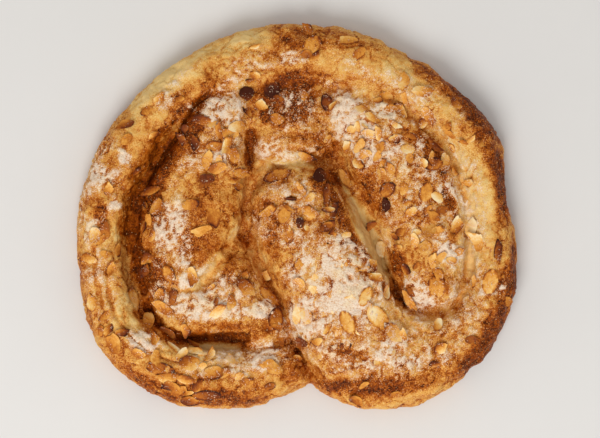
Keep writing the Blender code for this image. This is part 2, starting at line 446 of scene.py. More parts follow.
def new_group(name: str, inputs: dict, outputs: dict) -> tuple:
    """An empty shader node group.

    Args:
        name: the group's name.
        inputs: the default value of each number input, or None for a vector, by name.
        outputs: the socket type of each output, by name.

    Returns:
        The group, its graph, its input node and its output node.
    """
    group = bpy.data.node_groups.new(name, "ShaderNodeTree")
    for label, default in inputs.items():
        kind = "NodeSocketVector" if default is None else "NodeSocketFloat"
        socket = group.interface.new_socket(label, in_out="INPUT", socket_type=kind)
        if default is not None:
            socket.default_value = default
    for label, kind in outputs.items():
        group.interface.new_socket(label, in_out="OUTPUT", socket_type=kind)
    graph = Graph(group)
    return group, graph, graph.add("NodeGroupInput").outputs, graph.add("NodeGroupOutput").inputs


def mottle_group() -> bpy.types.ShaderNodeTree:
    """Uneven toasting: broad blotches with finer ones in them, as a value from about -0.5 to 0.5.

    Returns:
        The group, with its place, both scales and the finer ones' share as inputs.
    """
    inputs = {"Place": None, "Broad": 120.0, "Fine": 700.0, "Fine share": 0.5}
    group, graph, given, out = new_group("mottle", inputs, {"Value": "NodeSocketFloat"})
    broad = graph.span(graph.noise(given["Place"], given["Broad"], 4.0, 0.62, 0.6), 0.33, 0.67)
    fine = graph.span(graph.noise(given["Place"], given["Fine"], 3.0, 0.7), 0.33, 0.67)
    both = graph.math("MULTIPLY_ADD", graph.math("SUBTRACT", fine, broad), given["Fine share"], broad)
    graph.link(graph.math("SUBTRACT", both, 0.5), out["Value"])
    return group


def grain_group() -> bpy.types.ShaderNodeTree:
    """Crusted grains of sugar: a mask of bright grains, and a height for bump.

    Returns:
        The group, with its place and scale as inputs.
    """
    outputs = {"Mask": "NodeSocketFloat", "Height": "NodeSocketFloat"}
    group, graph, given, out = new_group("sugar_grain", {"Place": None, "Scale": 1300.0}, outputs)
    inputs = {"Vector": given["Place"], "Scale": given["Scale"], "Randomness": 1.0}
    cell = graph.add("ShaderNodeTexVoronoi", inputs)
    shade = graph.add("ShaderNodeSeparateColor", {0: cell.outputs["Color"]}).outputs[0]
    round_top = graph.span(cell.outputs["Distance"], 0.7, 0.1)
    graph.link(graph.math("MULTIPLY", shade, round_top), out["Mask"])
    graph.link(round_top, out["Height"])
    return group


class SharedGroups:
    """The node groups that more than one material places, built once."""

    def __init__(self) -> None:
        """Builds the groups."""
        self.mottle = mottle_group()
        self.grain = grain_group()

    def mottled(self, graph: Graph, place: Socket, broad: float, fine: float, fine_share: float) -> Socket:
        """Places the uneven toasting in a material and returns its value's socket.

        Args:
            graph: the material's graph.
            place: the point's place, as a socket.
            broad: large blotches in a metre.
            fine: small blotches in a metre.
            fine_share: how much the small ones count.

        Returns:
            The toasting, from about -0.5 to 0.5.
        """
        inputs = {"Place": place, "Broad": broad, "Fine": fine, "Fine share": fine_share}
        return graph.add("ShaderNodeGroup", inputs, node_tree=self.mottle).outputs["Value"]

    def grained(self, graph: Graph, place: Socket, scale: float) -> bpy.types.NodeOutputs:
        """Places the crusted grains in a material and returns the group's outputs.

        Args:
            graph: the material's graph.
            place: the point's place, as a socket.
            scale: grains in a metre.

        Returns:
            The mask and the height, by name.
        """
        return graph.add("ShaderNodeGroup", {"Place": place, "Scale": scale}, node_tree=self.grain).outputs


def new_material(name: str, **constants: Input) -> tuple:
    """A material with one Principled shader.

    Args:
        name: the material's name.
        constants: values for the shader's own sockets, with _ for each space in a socket's name.

    Returns:
        The material, its graph and its shader node.
    """
    material = bpy.data.materials.new(name)
    material.use_nodes = True
    shader = material.node_tree.nodes["Principled BSDF"]
    for label, value in constants.items():
        shader.inputs[label.replace("_", " ")].default_value = value
    return material, Graph(material.node_tree), shader


@dataclass(frozen=True)
class CrustFinish:
    """The baked crust: its colours from raw to burnt, its sugar, and its grain."""

    stops: tuple = (
        (0.00, (0.88, 0.60, 0.235)),
        (0.16, (0.82, 0.465, 0.120)),
        (0.32, (0.75, 0.345, 0.070)),
        (0.48, (0.60, 0.210, 0.031)),
        (0.64, (0.43, 0.100, 0.005)),
        (0.80, (0.24, 0.042, 0.002)),
        (1.00, (0.050, 0.011, 0.002)),
    )
    frosts: tuple = (
        (0.00, (0.50, 0.19, 0.050)),
        (0.30, (0.69, 0.38, 0.190)),
        (0.60, (0.81, 0.545, 0.345)),
        (1.00, (0.96, 0.80, 0.63)),
    )
    beige: tuple = (0.86, 0.55, 0.26, 1.0)
    butter: tuple = (1.0, 0.93, 0.62, 1.0)
    mottling: float = 0.44
    speckling: float = 0.46
    bump: float = 0.55

    def crust(self, graph: Graph, place: Socket, level: Socket, grain: Socket, calm: Socket) -> Socket:
        """The bare crust's colour: its baking, with pores and single bright grains where it isn't calm.

        Args:
            graph: the material's graph.
            place: the point's place, as a socket.
            level: how far it is baked.
            grain: the mask of bright grains.
            calm: how much of the pores and grains shows, from 0 to 1.

        Returns:
            The colour.
        """
        pores = graph.span(graph.noise(place, 1300.0, 2.0, 0.6), 0.3, 0.7, -0.5, 0.5)
        rough = graph.span(graph.noise(place, 110.0, 2.0), 0.35, 0.65, 0.3 * self.speckling, self.speckling)
        level = graph.math("ADD", level, graph.math("MULTIPLY", graph.math("MULTIPLY", pores, rough), calm))
        sparkle = graph.math("MULTIPLY", graph.span(grain, 0.55, 0.8), calm)
        return graph.blend(graph.math("MULTIPLY", sparkle, 0.45), graph.ramp(level, self.stops), self.beige)

    def frost(self, graph: Graph, place: Socket, sugar: Socket, grain: Socket) -> Socket:
        """The crusted sugar's colour: toasted where it is thin, white where it is thick, uneven all over.

        Args:
            graph: the material's graph.
            place: the point's place, as a socket.
            sugar: how thick it lies.
            grain: the mask of bright grains.

        Returns:
            The colour.
        """
        uneven = graph.span(graph.noise(place, 850.0, 3.0, 0.8), 0.32, 0.68, -0.4, 0.36)
        level = graph.math("ADD", graph.span(sugar, 0.2, 1.05, 0.25, 1.05), uneven)
        colour = graph.ramp(graph.math("ADD", level, graph.span(grain, 0.0, 0.8, -0.15, 0.2)), self.frosts)
        buttery = graph.span(graph.noise(place, 75.0, 2.0), 0.45, 0.7, 0.0, 0.5)
        return graph.blend(buttery, colour, self.butter, "MULTIPLY")

    def build(self, groups: SharedGroups) -> bpy.types.Material:
        """The finish as a material.

        Args:
            groups: the shared node groups.

        Returns:
            The material.
        """
        material, graph, shader = new_material("baked_crust")
        place = graph.add("ShaderNodeTexCoord").outputs["Object"]
        bake_and_shade, sugar = (graph.attribute(t.value) for t in (Tint.BAKE_AND_SHADE, Tint.SUGAR))
        mottle = groups.mottled(graph, place, 200.0, 760.0, 0.5)
        patchy = groups.mottled(graph, place, 130.0, 620.0, 0.42)
        grain = groups.grained(graph, place, 1150.0)
        mottling = graph.span(bake_and_shade, 0.1, 0.5, 0.4 * self.mottling, self.mottling)
        level = graph.math("ADD", bake_and_shade, graph.math("MULTIPLY", mottle, mottling))
        calm = graph.attribute(Tint.CALM.value)
        crust = self.crust(graph, place, level, grain["Mask"], graph.span(calm, 0.1, 0.7, 1.0, 0.1))
        graph.link(graph.span(calm, 0.1, 0.7, 0.08, 0.03), shader.inputs["Specular IOR Level"])
        thick = graph.math("MULTIPLY_ADD", patchy, 0.7, sugar)
        cover = graph.math("ADD", thick, graph.span(grain["Mask"], 0.1, 0.7, -0.34, 0.34))
        cover = graph.span(cover, 0.12, 0.8, 0.0, 0.95)
        colour = graph.blend(cover, crust, self.frost(graph, place, thick, grain["Mask"]))
        graph.link(colour, shader.inputs["Base Color"])
        graph.link(graph.span(cover, 0.0, 1.0, 0.42, 0.65), shader.inputs["Roughness"])
        lumps = graph.math("MULTIPLY", grain["Height"], graph.span(sugar, 0.0, 0.8, 0.3, 0.9))
        graph.bump(shader, graph.math("ADD", mottle, lumps), self.bump, 0.0007)
        return material


@dataclass(frozen=True)
class AlmondFinish:
    """Toasted almond: from cream to burnt, darker at the rim, partly browned skin and partly painted shadow
    along the outline.
    """

    stops: tuple = (
        (0.00, (0.94, 0.74, 0.42)),
        (0.18, (0.90, 0.52, 0.15)),
        (0.36, (0.75, 0.310, 0.048)),
        (0.56, (0.46, 0.128, 0.014)),
        (0.78, (0.20, 0.040, 0.008)),
        (1.00, (0.065, 0.015, 0.007)),
    )
    rim_amount: float = 0.34
    dusting: tuple = (0.86, 0.62, 0.42, 1.0)

    def build(self, groups: SharedGroups) -> bpy.types.Material:
        """The finish as a material.

        Args:
            groups: the shared node groups.

        Returns:
            The material.
        """
        material, graph, shader = new_material("toasted_almond", Roughness=0.5, Specular_IOR_Level=0.07)
        place = graph.add("ShaderNodeTexCoord").outputs["Object"]
        toast, rim = graph.attribute("toast"), graph.attribute("rim")
        mottle = groups.mottled(graph, place, 230.0, 900.0, 0.35)
        level = graph.math("MULTIPLY_ADD", mottle, 0.26, toast)
        # The darker rim: partly browned skin, partly painted shadow along the outline.
        edge = graph.math("MULTIPLY", graph.span(rim, 0.6, 1.0), self.rim_amount)
        level = graph.math("ADD", level, edge)
        grain = groups.grained(graph, place, 1100.0)
        dust = graph.math("ADD", graph.attribute("dust"), graph.span(grain["Mask"], 0.0, 0.7, -0.3, 0.3))
        dust = graph.math("ADD", dust, mottle)
        dusted = graph.span(dust, 0.3, 0.6, 0.0, 0.85)
        colour = graph.blend(dusted, graph.ramp(level, self.stops), self.dusting)
        graph.link(colour, shader.inputs["Base Color"])
        graph.bump(shader, mottle, 0.35, 0.0005)
        return material


@dataclass(frozen=True)
class SugarFinish:
    """Coarse sugar grains, clear white to toasted beige."""

    white: tuple = (0.98, 0.80, 0.60, 1.0)
    toasted: tuple = (0.90, 0.50, 0.17, 1.0)

    def build(self, groups: SharedGroups) -> bpy.types.Material:
        """The finish as a material.

        Args:
            groups: the shared node groups; not used.

        Returns:
            The material.
        """
        material, graph, shader = new_material("coarse_sugar", Roughness=0.22, Specular_IOR_Level=0.6)
        colour = graph.blend(graph.attribute("toast"), self.white, self.toasted)
        graph.link(colour, shader.inputs["Base Color"])
        return material


# ---------------------------------------------------------------- meshes


def mesh_from(name: str, shape: bmesh.types.BMesh) -> bpy.types.Mesh:
    """A mesh of a bmesh, which is freed.

    Args:
        name: the mesh's name.
        shape: the bmesh.

    Returns:
        The mesh.
    """
    mesh = bpy.data.meshes.new(name)
    shape.to_mesh(mesh)
    shape.free()
    return mesh


def show(name: str, mesh: bpy.types.Mesh, material: bpy.types.Material = None) -> bpy.types.Object:
    """An object at the origin that holds a mesh.

    Args:
        name: the object's name.
        mesh: the mesh.
        material: its only material, or none.

    Returns:
        The object.
    """
    made = bpy.data.objects.new(name, mesh)
    if material:
        mesh.materials.clear()
        mesh.materials.append(material)
    bpy.context.scene.collection.objects.link(made)
    return made


def read_points(mesh: bpy.types.Mesh) -> np.ndarray:
    """A mesh's vertex places, one a row."""
    flat = np.empty(len(mesh.vertices) * 3)
    mesh.vertices.foreach_get("co", flat)
    return flat.reshape(-1, 3)


def read_normals(mesh: bpy.types.Mesh) -> np.ndarray:
    """A mesh's vertex normals, one a row."""
    flat = np.empty(len(mesh.vertices) * 3)
    mesh.vertex_normals.foreach_get("vector", flat)
    return flat.reshape(-1, 3)


def write_points(mesh: bpy.types.Mesh, points: np.ndarray) -> None:
    """Moves a mesh's vertices."""
    mesh.vertices.foreach_set("co", points.ravel())
    mesh.update()


def write_value(mesh: bpy.types.Mesh, name: str, values: np.ndarray) -> None:
    """Stores one number for each vertex of a mesh under a name.

    Args:
        mesh: the mesh.
        name: the name.
        values: the numbers, in the order of the vertices.
    """
    layer = mesh.attributes.new(name, "FLOAT", "POINT")
    layer.data.foreach_set("value", np.asarray(values, np.float32))


def read_value(mesh: bpy.types.Mesh, name: str) -> np.ndarray:
    """The numbers that write_value stored."""
    values = np.empty(len(mesh.vertices), np.float32)
    mesh.attributes[name].data.foreach_get("value", values)
    return values


def modified(mesh: bpy.types.Mesh, *modifiers: tuple) -> bpy.types.Mesh:
    """A mesh with modifiers applied in order.

    Args:
        mesh: the mesh, which is dropped.
        modifiers: (type, settings) of each.

    Returns:
        The new mesh.
    """
    holder = show("holder", mesh)
    for kind, settings in modifiers:
        modifier = holder.modifiers.new(kind.lower(), kind)
        for label, value in settings.items():
            setattr(modifier, label, value)
    bpy.context.view_layer.update()
    made = bpy.data.meshes.new_from_object(holder.evaluated_get(bpy.context.evaluated_depsgraph_get()))
    bpy.data.objects.remove(holder)
    return made


def relief_of(mesh: bpy.types.Mesh, passes: int) -> np.ndarray:
    """How far each vertex stands out of its surroundings, in metres.

    Args:
        mesh: the mesh.
        passes: how often the surroundings are evened out; each reaches one edge further.

    Returns:
        One number for each vertex, below 0 in hollows.
    """
    points = read_points(mesh)
    edges = np.empty(len(mesh.edges) * 2, np.int32)
    mesh.edges.foreach_get("vertices", edges)
    ends = np.concatenate([edges, edges.reshape(-1, 2)[:, ::-1].ravel()]).reshape(-1, 2)
    count = np.bincount(ends[:, 0], minlength=len(points))[:, None]
    even = points
    for _ in range(passes):
        around = [np.bincount(ends[:, 0], even[ends[:, 1], k], len(points)) for k in range(3)]
        even = (even + np.array(around).T / count) / 2
    return ((points - even) * read_normals(mesh)).sum(axis=1)


def tree_of(mesh: bpy.types.Mesh) -> BVHTree:
    """A search tree of a mesh's surface.

    Args:
        mesh: the mesh.

    Returns:
        The tree.
    """
    shape = bmesh.new()
    shape.from_mesh(mesh)
    tree = BVHTree.FromBMesh(shape)
    shape.free()
    return tree


# ---------------------------------------------------------------- the dough


# Darker and paler patches of the crust: mostly its browning, and in the places named below painted shade or
# painted light.
BAKE_AND_SHADE_PATCHES = patches(
    # The left lump.
    # The patch at (-0.63, -0.3) is partly browning and partly painted shade; the pale one at (-0.26, -0.12)
    # is painted light against the shade of the deep groove at the seam.
    (-0.63, -0.3, 11, 14, 0, 0.26), (-0.26, -0.12, 13, 16, 0, -0.2), (-0.39, -0.08, 24, 31, -10, 0.26),
    (-0.28, -0.27, 15, 14, 0, 0.2), (-0.22, -0.6, 18, 6, 0, 0.3), (-0.37, -0.27, 22, 4, 54, -0.42),
    (-0.51, -0.35, 15, 6, 0, -0.1), (-0.61, -0.01, 7, 20, 0, 0.14), (-0.45, 0.48, 7, 14, 60, 0.2),
    (-0.62, -0.32, 7, 6, 0, 0.14), (-0.64, 0.06, 6, 10, 70, 0.12), (-0.16, -0.38, 5, 6, 0, -0.14),
    (-0.49, 0.4, 6, 6, 0, 0.2), (-0.37, 0.46, 8, 6, 0, -0.14), (-0.4, 0.27, 6, 6, 0, -0.12),
    (-0.16, -0.46, 5, 8, 0, -0.12), (-0.24, -0.55, 7, 3, 0, 0.14), (-0.43, -0.26, 5, 5, 0, 0.12),
    (-0.57, 0.25, 12, 3, 50, 0.1),
    # The slit: darker in its depth, partly browning and partly painted shade.
    (-0.65, 0.13, 6, 22, 0, 0.2), (-0.57, 0.34, 35, 5, 56, 0.34), (-0.73, -0.06, 34, 4.5, 90, 0.4),
    (-0.52, 0.54, 27, 3, 45, 0.16), (-0.44, 0.59, 6, 4, 0, 0.25), (-0.66, -0.37, 6, 5, 0, 0.12),
    (-0.77, 0, 5, 22, 0, 0.16),
    # The back patch and its caramel, and the lip.
    (0.09, 0.37, 14, 7, -30, 0.24), (-0.21, 0.34, 4, 16, 0, 0.4), (-0.05, 0.6, 18, 16, 0, 0.5),
    (0.01, 0.28, 14, 5, 0, -0.2), (0.01, 0.49, 6, 5, 0, 0.2), (0.01, 0.27, 11, 4, 10, -0.2),
    (-0.08, 0.27, 16, 4, 0, -0.18), (-0.14, 0.55, 4, 8, 0, 0.3),
    # The tongue.
    # The patch at (0.23, -0.05) darkens the tongue's right bank, partly browning and partly painted shade.
    (0.42, -0.5, 20, 12, -20, -0.14), (-0.16, -0.08, 14, 24, 20, 0.14), (0.23, -0.05, 42, 4, -62, 0.36),
    (0.12, 0.19, 9, 7, 0, 0.42), (-0.12, 0.04, 6, 9, 0, 0.16), (-0.16, -0.24, 4, 8, 0, -0.14),
    (0.11, -0.27, 12, 7, 10, -0.1), (-0.13, 0.06, 6, 6, 0, 0.12), (-0.16, -0.24, 4, 9, 0, -0.1),
    (-0.06, -0.33, 4, 6, -60, 0.16), (0.2, -0.15, 4, 3, 0, 0.2),
    # The gap: paler on its raw floor, and darker along the tongue's edge and at its narrow front end, there
    # partly as painted shade.
    (0.49, -0.44, 18, 3, -60, 0.12), (0.32, -0.1, 36, 5, -64, -0.42), (0.36, -0.1, 24, 9, -62, -0.14),
    (0.24, 0.13, 6, 8, -60, -0.3), (0.31, -0.04, 14, 5, -58, 0.16), (0.22, 0.05, 4, 6, -60, 0.12),
    (0.34, -0.06, 10, 5, -58, 0.1), (0.43, -0.26, 4, 8, -62, 0.14), (0.46, -0.31, 4, 7, 0, 0.26),
    # The right lump.
    (0.33, 0.55, 30, 12, -20, -0.14), (0.3, 0.13, 10, 19, 0, 0.28), (0.44, -0.22, 10, 7, 0, 0.24),
    (0.61, -0.49, 14, 4, -30, 0.22), (0.6, 0.34, 16, 5, -40, 0.2), (0.68, 0.09, 5, 14, 10, 0.16),
    (0.29, 0.14, 26, 8, -57, 0.12), (0.64, -0.32, 12, 10, 0, 0.12), (0.5, 0.43, 5, 10, 80, 0.22),
    (0.61, 0.37, 7, 5, -30, 0.24), (0.68, 0.23, 4, 8, -70, 0.2), (0.68, 0.06, 7, 6, 0, 0.22),
    (0.49, -0.16, 10, 6, 0, 0.1), (0.45, -0.24, 8, 5, -60, 0.18), (0.69, -0.24, 9, 8, 0, -0.24),
    (0.26, 0.4, 5, 6, 0, -0.15), (0.4, 0.01, 10, 6, -50, 0.12), (0.54, -0.22, 6, 5, 0, 0.16),
    (0.56, 0, 12, 4, 0, 0.14),
    # The rope's back.
    (0, 0.92, 16, 7, 0, 0.34), (0.24, 0.91, 20, 4, -20, 0.2), (0.24, 0.78, 42, 7, -12, -0.16),
    (0.04, 0.72, 12, 6, 0, 0.2), (-0.26, 0.68, 10, 5, 0, -0.12), (0.29, 0.66, 14, 5, -15, -0.14),
    (-0.28, 0.85, 18, 8, 12, 0.05), (-0.26, 0.67, 10, 5, 0, -0.1), (0, 0.83, 7, 7, 0, 0.14),
    (0.08, 0.7, 8, 5, 0, 0.12), (-0.21, 0.9, 16, 10, 20, -0.08),
    # The rope's left.
    # The patch at (-0.63, 0.4) darkens the slit's upper left wall as painted shade.
    (-0.68, -0.53, 11, 8, -50, 0.42), (-0.63, 0.4, 31, 5, 58, 0.2), (-0.89, 0.01, 5, 8, 0, 0.42),
    (-0.95, -0.43, 30, 5, 100, 0.16), (-0.42, 0.8, 46, 9, 30, -0.3), (-0.62, 0.66, 26, 8, 45, -0.26),
    (-0.71, -0.59, 14, 4, -50, -0.2), (-0.44, 0.65, 20, 7, 35, 0.16), (-0.84, 0.4, 12, 30, 55, 0.08),
    (-0.4, 0.79, 12, 7, 25, 0.2), (-0.78, 0.54, 7, 6, 0, 0.17), (-0.93, -0.3, 5, 12, 90, 0.14),
    (-0.83, -0.12, 3, 12, 90, -0.16), (-0.8, -0.48, 3, 8, 0, -0.14), (-0.51, 0.72, 36, 10, 38, 0.05),
    (-0.92, 0.06, 5, 8, 80, 0.1), (-0.49, 0.65, 7, 5, 0, -0.12), (-0.83, 0.45, 6, 6, 0, -0.1),
    (-1.01, -0.3, 8, 10, 0, 0.1), (-0.82, -0.11, 12, 2, -85, -0.16),
    # The rope's front left.
    # The patch at (-0.44, -0.63) is painted shadow in the groove along the slit's front, cast by the rope.
    (-0.45, -0.74, 24, 8, -10, -0.16), (-0.47, -0.92, 50, 6, -8, 0.16), (-0.44, -0.63, 37, 6, -5, 0.46),
    (-0.68, -0.87, 29, 6, -35, 0.24), (-0.26, -0.93, 35, 7, 5, 0.24), (-0.34, -0.67, 10, 4, 0, -0.22),
    (-0.39, -0.77, 6, 5, 0, -0.12), (-0.37, -0.67, 12, 4, 0, -0.12), (-0.33, -0.68, 16, 2, 0, -0.3),
    # The tongue's root and the front right.
    (0.62, -0.8, 40, 7, 25, 0.2), (0.85, -0.64, 30, 8, 57, 0.34), (0.35, -0.87, 35, 8, 3, 0.26),
    (0.15, -0.85, 12, 11, -40, 0.22), (-0.02, -0.7, 20, 6, -62, 0.08), (0.65, -0.51, 10, 6, 20, -0.3),
    (0.31, -0.86, 22, 8, 5, 0.2), (0.88, -0.53, 14, 6, 62, 0.24), (-0.03, -0.67, 8, 8, 0, 0.16),
    (0.16, -0.69, 12, 6, 0, 0.15), (0.01, -0.85, 10, 6, 10, 0.1), (0.2, -0.67, 8, 5, 0, 0.14),
    (0.22, -0.7, 12, 5, 0, 0.12), (0.29, -0.76, 30, 5, 0, 0.08), (-0.02, -0.81, 10, 8, 0, 0.1),
    (-0.03, -0.78, 9, 7, 0, 0.12),
    # The rope's right.
    (0.98, -0.27, 23, 4, 90, 0.42), (0.84, 0.53, 32, 6, -49, 0.42), (0.94, 0.22, 20, 4, -80, 0.26),
    (0.62, 0.62, 30, 10, -41, -0.24), (0.79, 0.23, 31, 9, -75, -0.28), (0.83, -0.08, 24, 9, 90, -0.24),
    (0.78, -0.17, 8, 16, 0, -0.14), (0.77, 0.39, 13, 6, -65, 0.2), (0.94, -0.28, 8, 5, 80, 0.16),
    (0.94, -0.17, 4, 8, 90, 0.12), (0.93, -0.38, 12, 4, 75, 0.2), (0.79, -0.24, 11, 4, -85, -0.3),
)

SUGAR_PATCHES = patches(
    # The left lump.
    (-0.37, 0.54, 26, 22, 0, 0.62), (-0.44, 0.33, 28, 18, 0, 0.5), (-0.59, -0.04, 16, 30, 0, 0.64),
    (-0.42, -0.39, 38, 18, 0, 0.66), (-0.36, -0.04, 19, 36, 10, -0.45), (-0.39, -0.47, 30, 11, 0, 0.86),
    (-0.15, -0.48, 9, 7, 0, 1.05), (-0.57, 0, 13, 21, 0, 0.85), (-0.37, 0.54, 16, 15, 0, 0.8),
    (-0.34, 0.35, 15, 11, 0, 0.65), (-0.61, 0.06, 6, 16, 0, -0.2), (-0.52, -0.18, 9, 15, 0, 0.72),
    (-0.45, 0.48, 7, 14, 60, -0.4), (-0.6, 0.11, 5, 9, 90, -0.3), (-0.39, -0.58, 10, 3, 0, 0.3),
    (-0.39, -0.57, 11, 3, 0, 0.35), (-0.59, 0.09, 4, 10, 90, -0.25), (-0.63, -0.22, 7, 9, 0, 0.45),
    # The slit.
    (-0.44, 0.59, 6, 5, 0, -0.5),
    # The back patch and its caramel, and the lip.
    (-0.05, 0.35, 24, 10, 0, 0.56), (-0.03, 0.56, 24, 20, 0, 0.42), (-0.03, 0.57, 9, 11, 0, 0.62),
    (-0.05, 0.34, 22, 6, 0, 0.6), (0.1, 0.52, 6, 5, 0, 0.35), (0.01, 0.27, 9, 4, 10, 0.3),
    (-0.08, 0.27, 14, 4, 0, 0.35), (0, 0.38, 10, 4, 0, -0.35), (0.13, 0.52, 5, 6, 0, 0.6),
    # The tongue.
    (0.22, -0.37, 44, 30, -62, 0.7), (0.01, 0.01, 24, 26, -60, 0.46), (-0.15, -0.04, 12, 34, -80, 0.34),
    (0.07, -0.56, 22, 20, -60, 0.6), (0.22, -0.37, 26, 23, -60, 0.84), (0.24, -0.42, 16, 15, 0, 1.2),
    (0.13, -0.25, 10, 12, 0, 1), (0.2, -0.15, 12, 7, 0, 0.85), (0.01, -0.12, 10, 7, 0, 0.6),
    (0.04, -0.53, 19, 22, -60, 0.82), (-0.03, 0.13, 18, 14, 0, 0.5), (0.03, -0.29, 14, 12, 0, 0.78),
    (0.22, -0.43, 17, 14, 0, 1.05), (0.04, -0.24, 10, 10, 0, 0.8), (0.13, -0.35, 18, 12, -40, 0.86),
    (-0.1, 0.09, 6, 6, 0, -0.3), (0.26, -0.07, 10, 4, -60, -0.2),
    # The gap.
    (0.27, 0.13, 30, 9, -57, -0.5), (0.22, 0.53, 16, 20, 0, 0.9), (0.24, 0.13, 6, 8, -60, 0.9),
    (0.31, -0.04, 14, 5, -58, -0.3), (0.25, 0.13, 4, 9, -62, 0.5), (0.26, 0.14, 4, 7, -62, 0.4),
    (0.46, -0.31, 4, 6, 0, -0.5),
    # The right lump.
    (0.25, 0.49, 24, 22, -30, 0.7), (0.47, 0.37, 30, 26, -40, 0.54), (0.61, 0.09, 20, 40, -10, 0.58),
    (0.6, -0.38, 22, 28, 0, 0.56), (0.53, -0.22, 12, 10, 0, -0.45), (0.4, 0.03, 18, 20, 0, 0.42),
    (0.4, 0.34, 16, 11, 0, 0.75), (0.4, 0.54, 8, 4, -30, 1.1), (0.31, 0.45, 10, 8, 0, 0.95),
    (0.68, -0.18, 7, 7, 0, 1.05), (0.75, 0.08, 7, 3, -50, 1), (0.56, -0.42, 18, 8, 90, 0.9),
    (0.3, 0.38, 12, 15, -60, 0.8), (0.33, 0.33, 10, 14, -60, 0.8), (0.64, -0.32, 12, 10, 0, -0.3),
    (0.49, 0.45, 8, 8, 0, -0.3), (0.5, 0.43, 5, 10, 80, -0.4), (0.61, 0.37, 7, 5, -30, -0.4),
    (0.68, 0.23, 4, 8, -70, -0.3), (0.68, 0.06, 7, 6, 0, -0.4), (0.61, 0.02, 6, 8, 0, -0.3),
    (0.65, -0.41, 6, 6, 0, -0.35), (0.69, -0.24, 9, 7, 0, 0.55), (0.56, -0.01, 7, 5, 0, -0.3),
    (0.7, -0.2, 9, 8, 60, 0.85), (0.71, -0.38, 5, 8, 0, 0.6),
    # The rope's back.
    (0.44, 0.69, 40, 9, -22, 0.46), (-0.28, 0.73, 30, 6, 20, 0.45), (-0.02, 0.81, 12, 5, 0, 0.5),
    (0.2, 0.66, 16, 6, -10, 0.62), (-0.29, 0.68, 12, 7, 20, 0.6), (-0.26, 0.68, 10, 6, 0, 0.3),
    (0.31, 0.67, 10, 5, -15, 0.25), (0.33, 0.8, 7, 6, 0, -0.3), (0.4, 0.76, 20, 6, -25, -0.15),
    # The rope's left.
    (-0.9, 0.14, 13, 34, -15, 0.58), (-0.88, -0.35, 12, 30, 8, 0.3), (-0.33, 0.71, 34, 9, 28, 0.38),
    (-0.89, 0.23, 10, 10, 0, 0.85), (-0.78, 0.31, 5, 6, 60, 0.95), (-0.83, 0.05, 4, 9, 80, 0.9),
    (-0.93, -0.08, 6, 10, 0, 0.85), (-0.92, -0.24, 7, 20, 0, 0.35), (-0.53, 0.67, 20, 7, 40, 0.5),
    (-0.44, 0.68, 20, 10, 35, -0.5), (-0.91, 0.05, 8, 7, 0, -0.6), (-0.83, 0.3, 5, 6, 0, -0.4),
    (-0.86, 0.09, 4, 6, 0, -0.4), (-0.92, -0.12, 4, 10, 90, -0.3), (-0.76, 0.28, 3, 4, 0, 0.5),
    (-0.9, 0.06, 5, 8, 80, -0.3), (-0.85, 0.28, 6, 4, 0, -0.35), (-0.59, 0.6, 10, 6, 45, 0.6),
    # The rope's front left.
    (-0.31, -0.75, 40, 12, 5, 0.48), (-0.69, -0.64, 12, 7, -30, 0.8), (-0.3, -0.7, 15, 7, 30, 0.9),
    (-0.15, -0.72, 14, 10, 0, 0.85), (-0.34, -0.67, 20, 5, 0, 0.62), (-0.29, -0.67, 14, 6, 0, 0.7),
    # The tongue's root and the front right.
    (0.38, -0.67, 52, 20, 5, 0.58), (0.5, -0.69, 31, 12, 0, 0.8), (0.58, -0.65, 12, 8, 0, -0.25),
    (0.24, -0.69, 12, 5, 0, -0.25), (0.59, -0.67, 12, 8, 0, -0.2),
    # The rope's right.
    (0.78, 0.14, 10, 52, 10, 0.36), (0.78, -0.43, 12, 34, -15, 0.42), (0.88, -0.37, 5, 10, -75, 0.9),
    (0.78, -0.17, 8, 14, 0, 0.5), (0.77, 0.39, 12, 6, -65, -0.4), (0.86, -0.36, 6, 9, 60, 0.55),
    (0.67, -0.47, 6, 6, 0, 0.5), (0.9, 0.14, 20, 6, -75, -0.15), (0.8, -0.24, 10, 4, -85, 0.35),
)

NUT_PATCHES = patches(
    # The left lump.
    (-0.37, 0.34, 24, 22, 0, 0.7), (-0.33, -0.41, 42, 18, 0, 0.5),
    # The tongue.
    (0.07, 0.01, 24, 22, 0, 0.8), (0.24, -0.38, 33, 31, 0, 0.9),
    # The right lump.
    (0.49, 0.37, 42, 35, 0, 0.9), (0.56, -0.1, 29, 30, 0, 0.6),
    # The rope's back.
    (0.13, 0.87, 27, 8, -10, 0.5),
    # The rope's left.
    (-0.89, -0.17, 11, 48, 0, 0.5),
    # The rope's front left.
    (-0.58, -0.72, 54, 23, -30, 0.9),
    # The tongue's root and the front right.
    (0.56, -0.67, 41, 15, 0, 0.5),
)

SLIT_LINE = (
    (-0.37, 0.65), (-0.42, 0.61), (-0.46, 0.57), (-0.5, 0.49), (-0.55, 0.39), (-0.61, 0.29), (-0.66, 0.2),
    (-0.7, 0.1), (-0.73, -0.02), (-0.735, -0.12), (-0.73, -0.25), (-0.7, -0.38), (-0.67, -0.46),
)
SLIT_WALL = (
    (-0.57, 0.47), (-0.63, 0.37), (-0.67, 0.29), (-0.72, 0.19), (-0.75, 0.09), (-0.77, -0.02), (-0.78, -0.12),
    (-0.77, -0.22),
)
SLIT_BANK = (
    (-0.42, 0.54), (-0.47, 0.43), (-0.54, 0.33), (-0.6, 0.22), (-0.65, 0.08), (-0.68, -0.04), (-0.68, -0.14),
    (-0.68, -0.26), (-0.65, -0.39),
)
SLIT_FRONT = ((-0.69, -0.4), (-0.66, -0.5), (-0.59, -0.585), (-0.5, -0.62), (-0.35, -0.63), (-0.2, -0.62))
SEAM = (
    (-0.21, 0.42), (-0.22, 0.19), (-0.24, -0.04), (-0.16, -0.25), (-0.06, -0.46), (-0.03, -0.61),
    (0.07, -0.84),
)
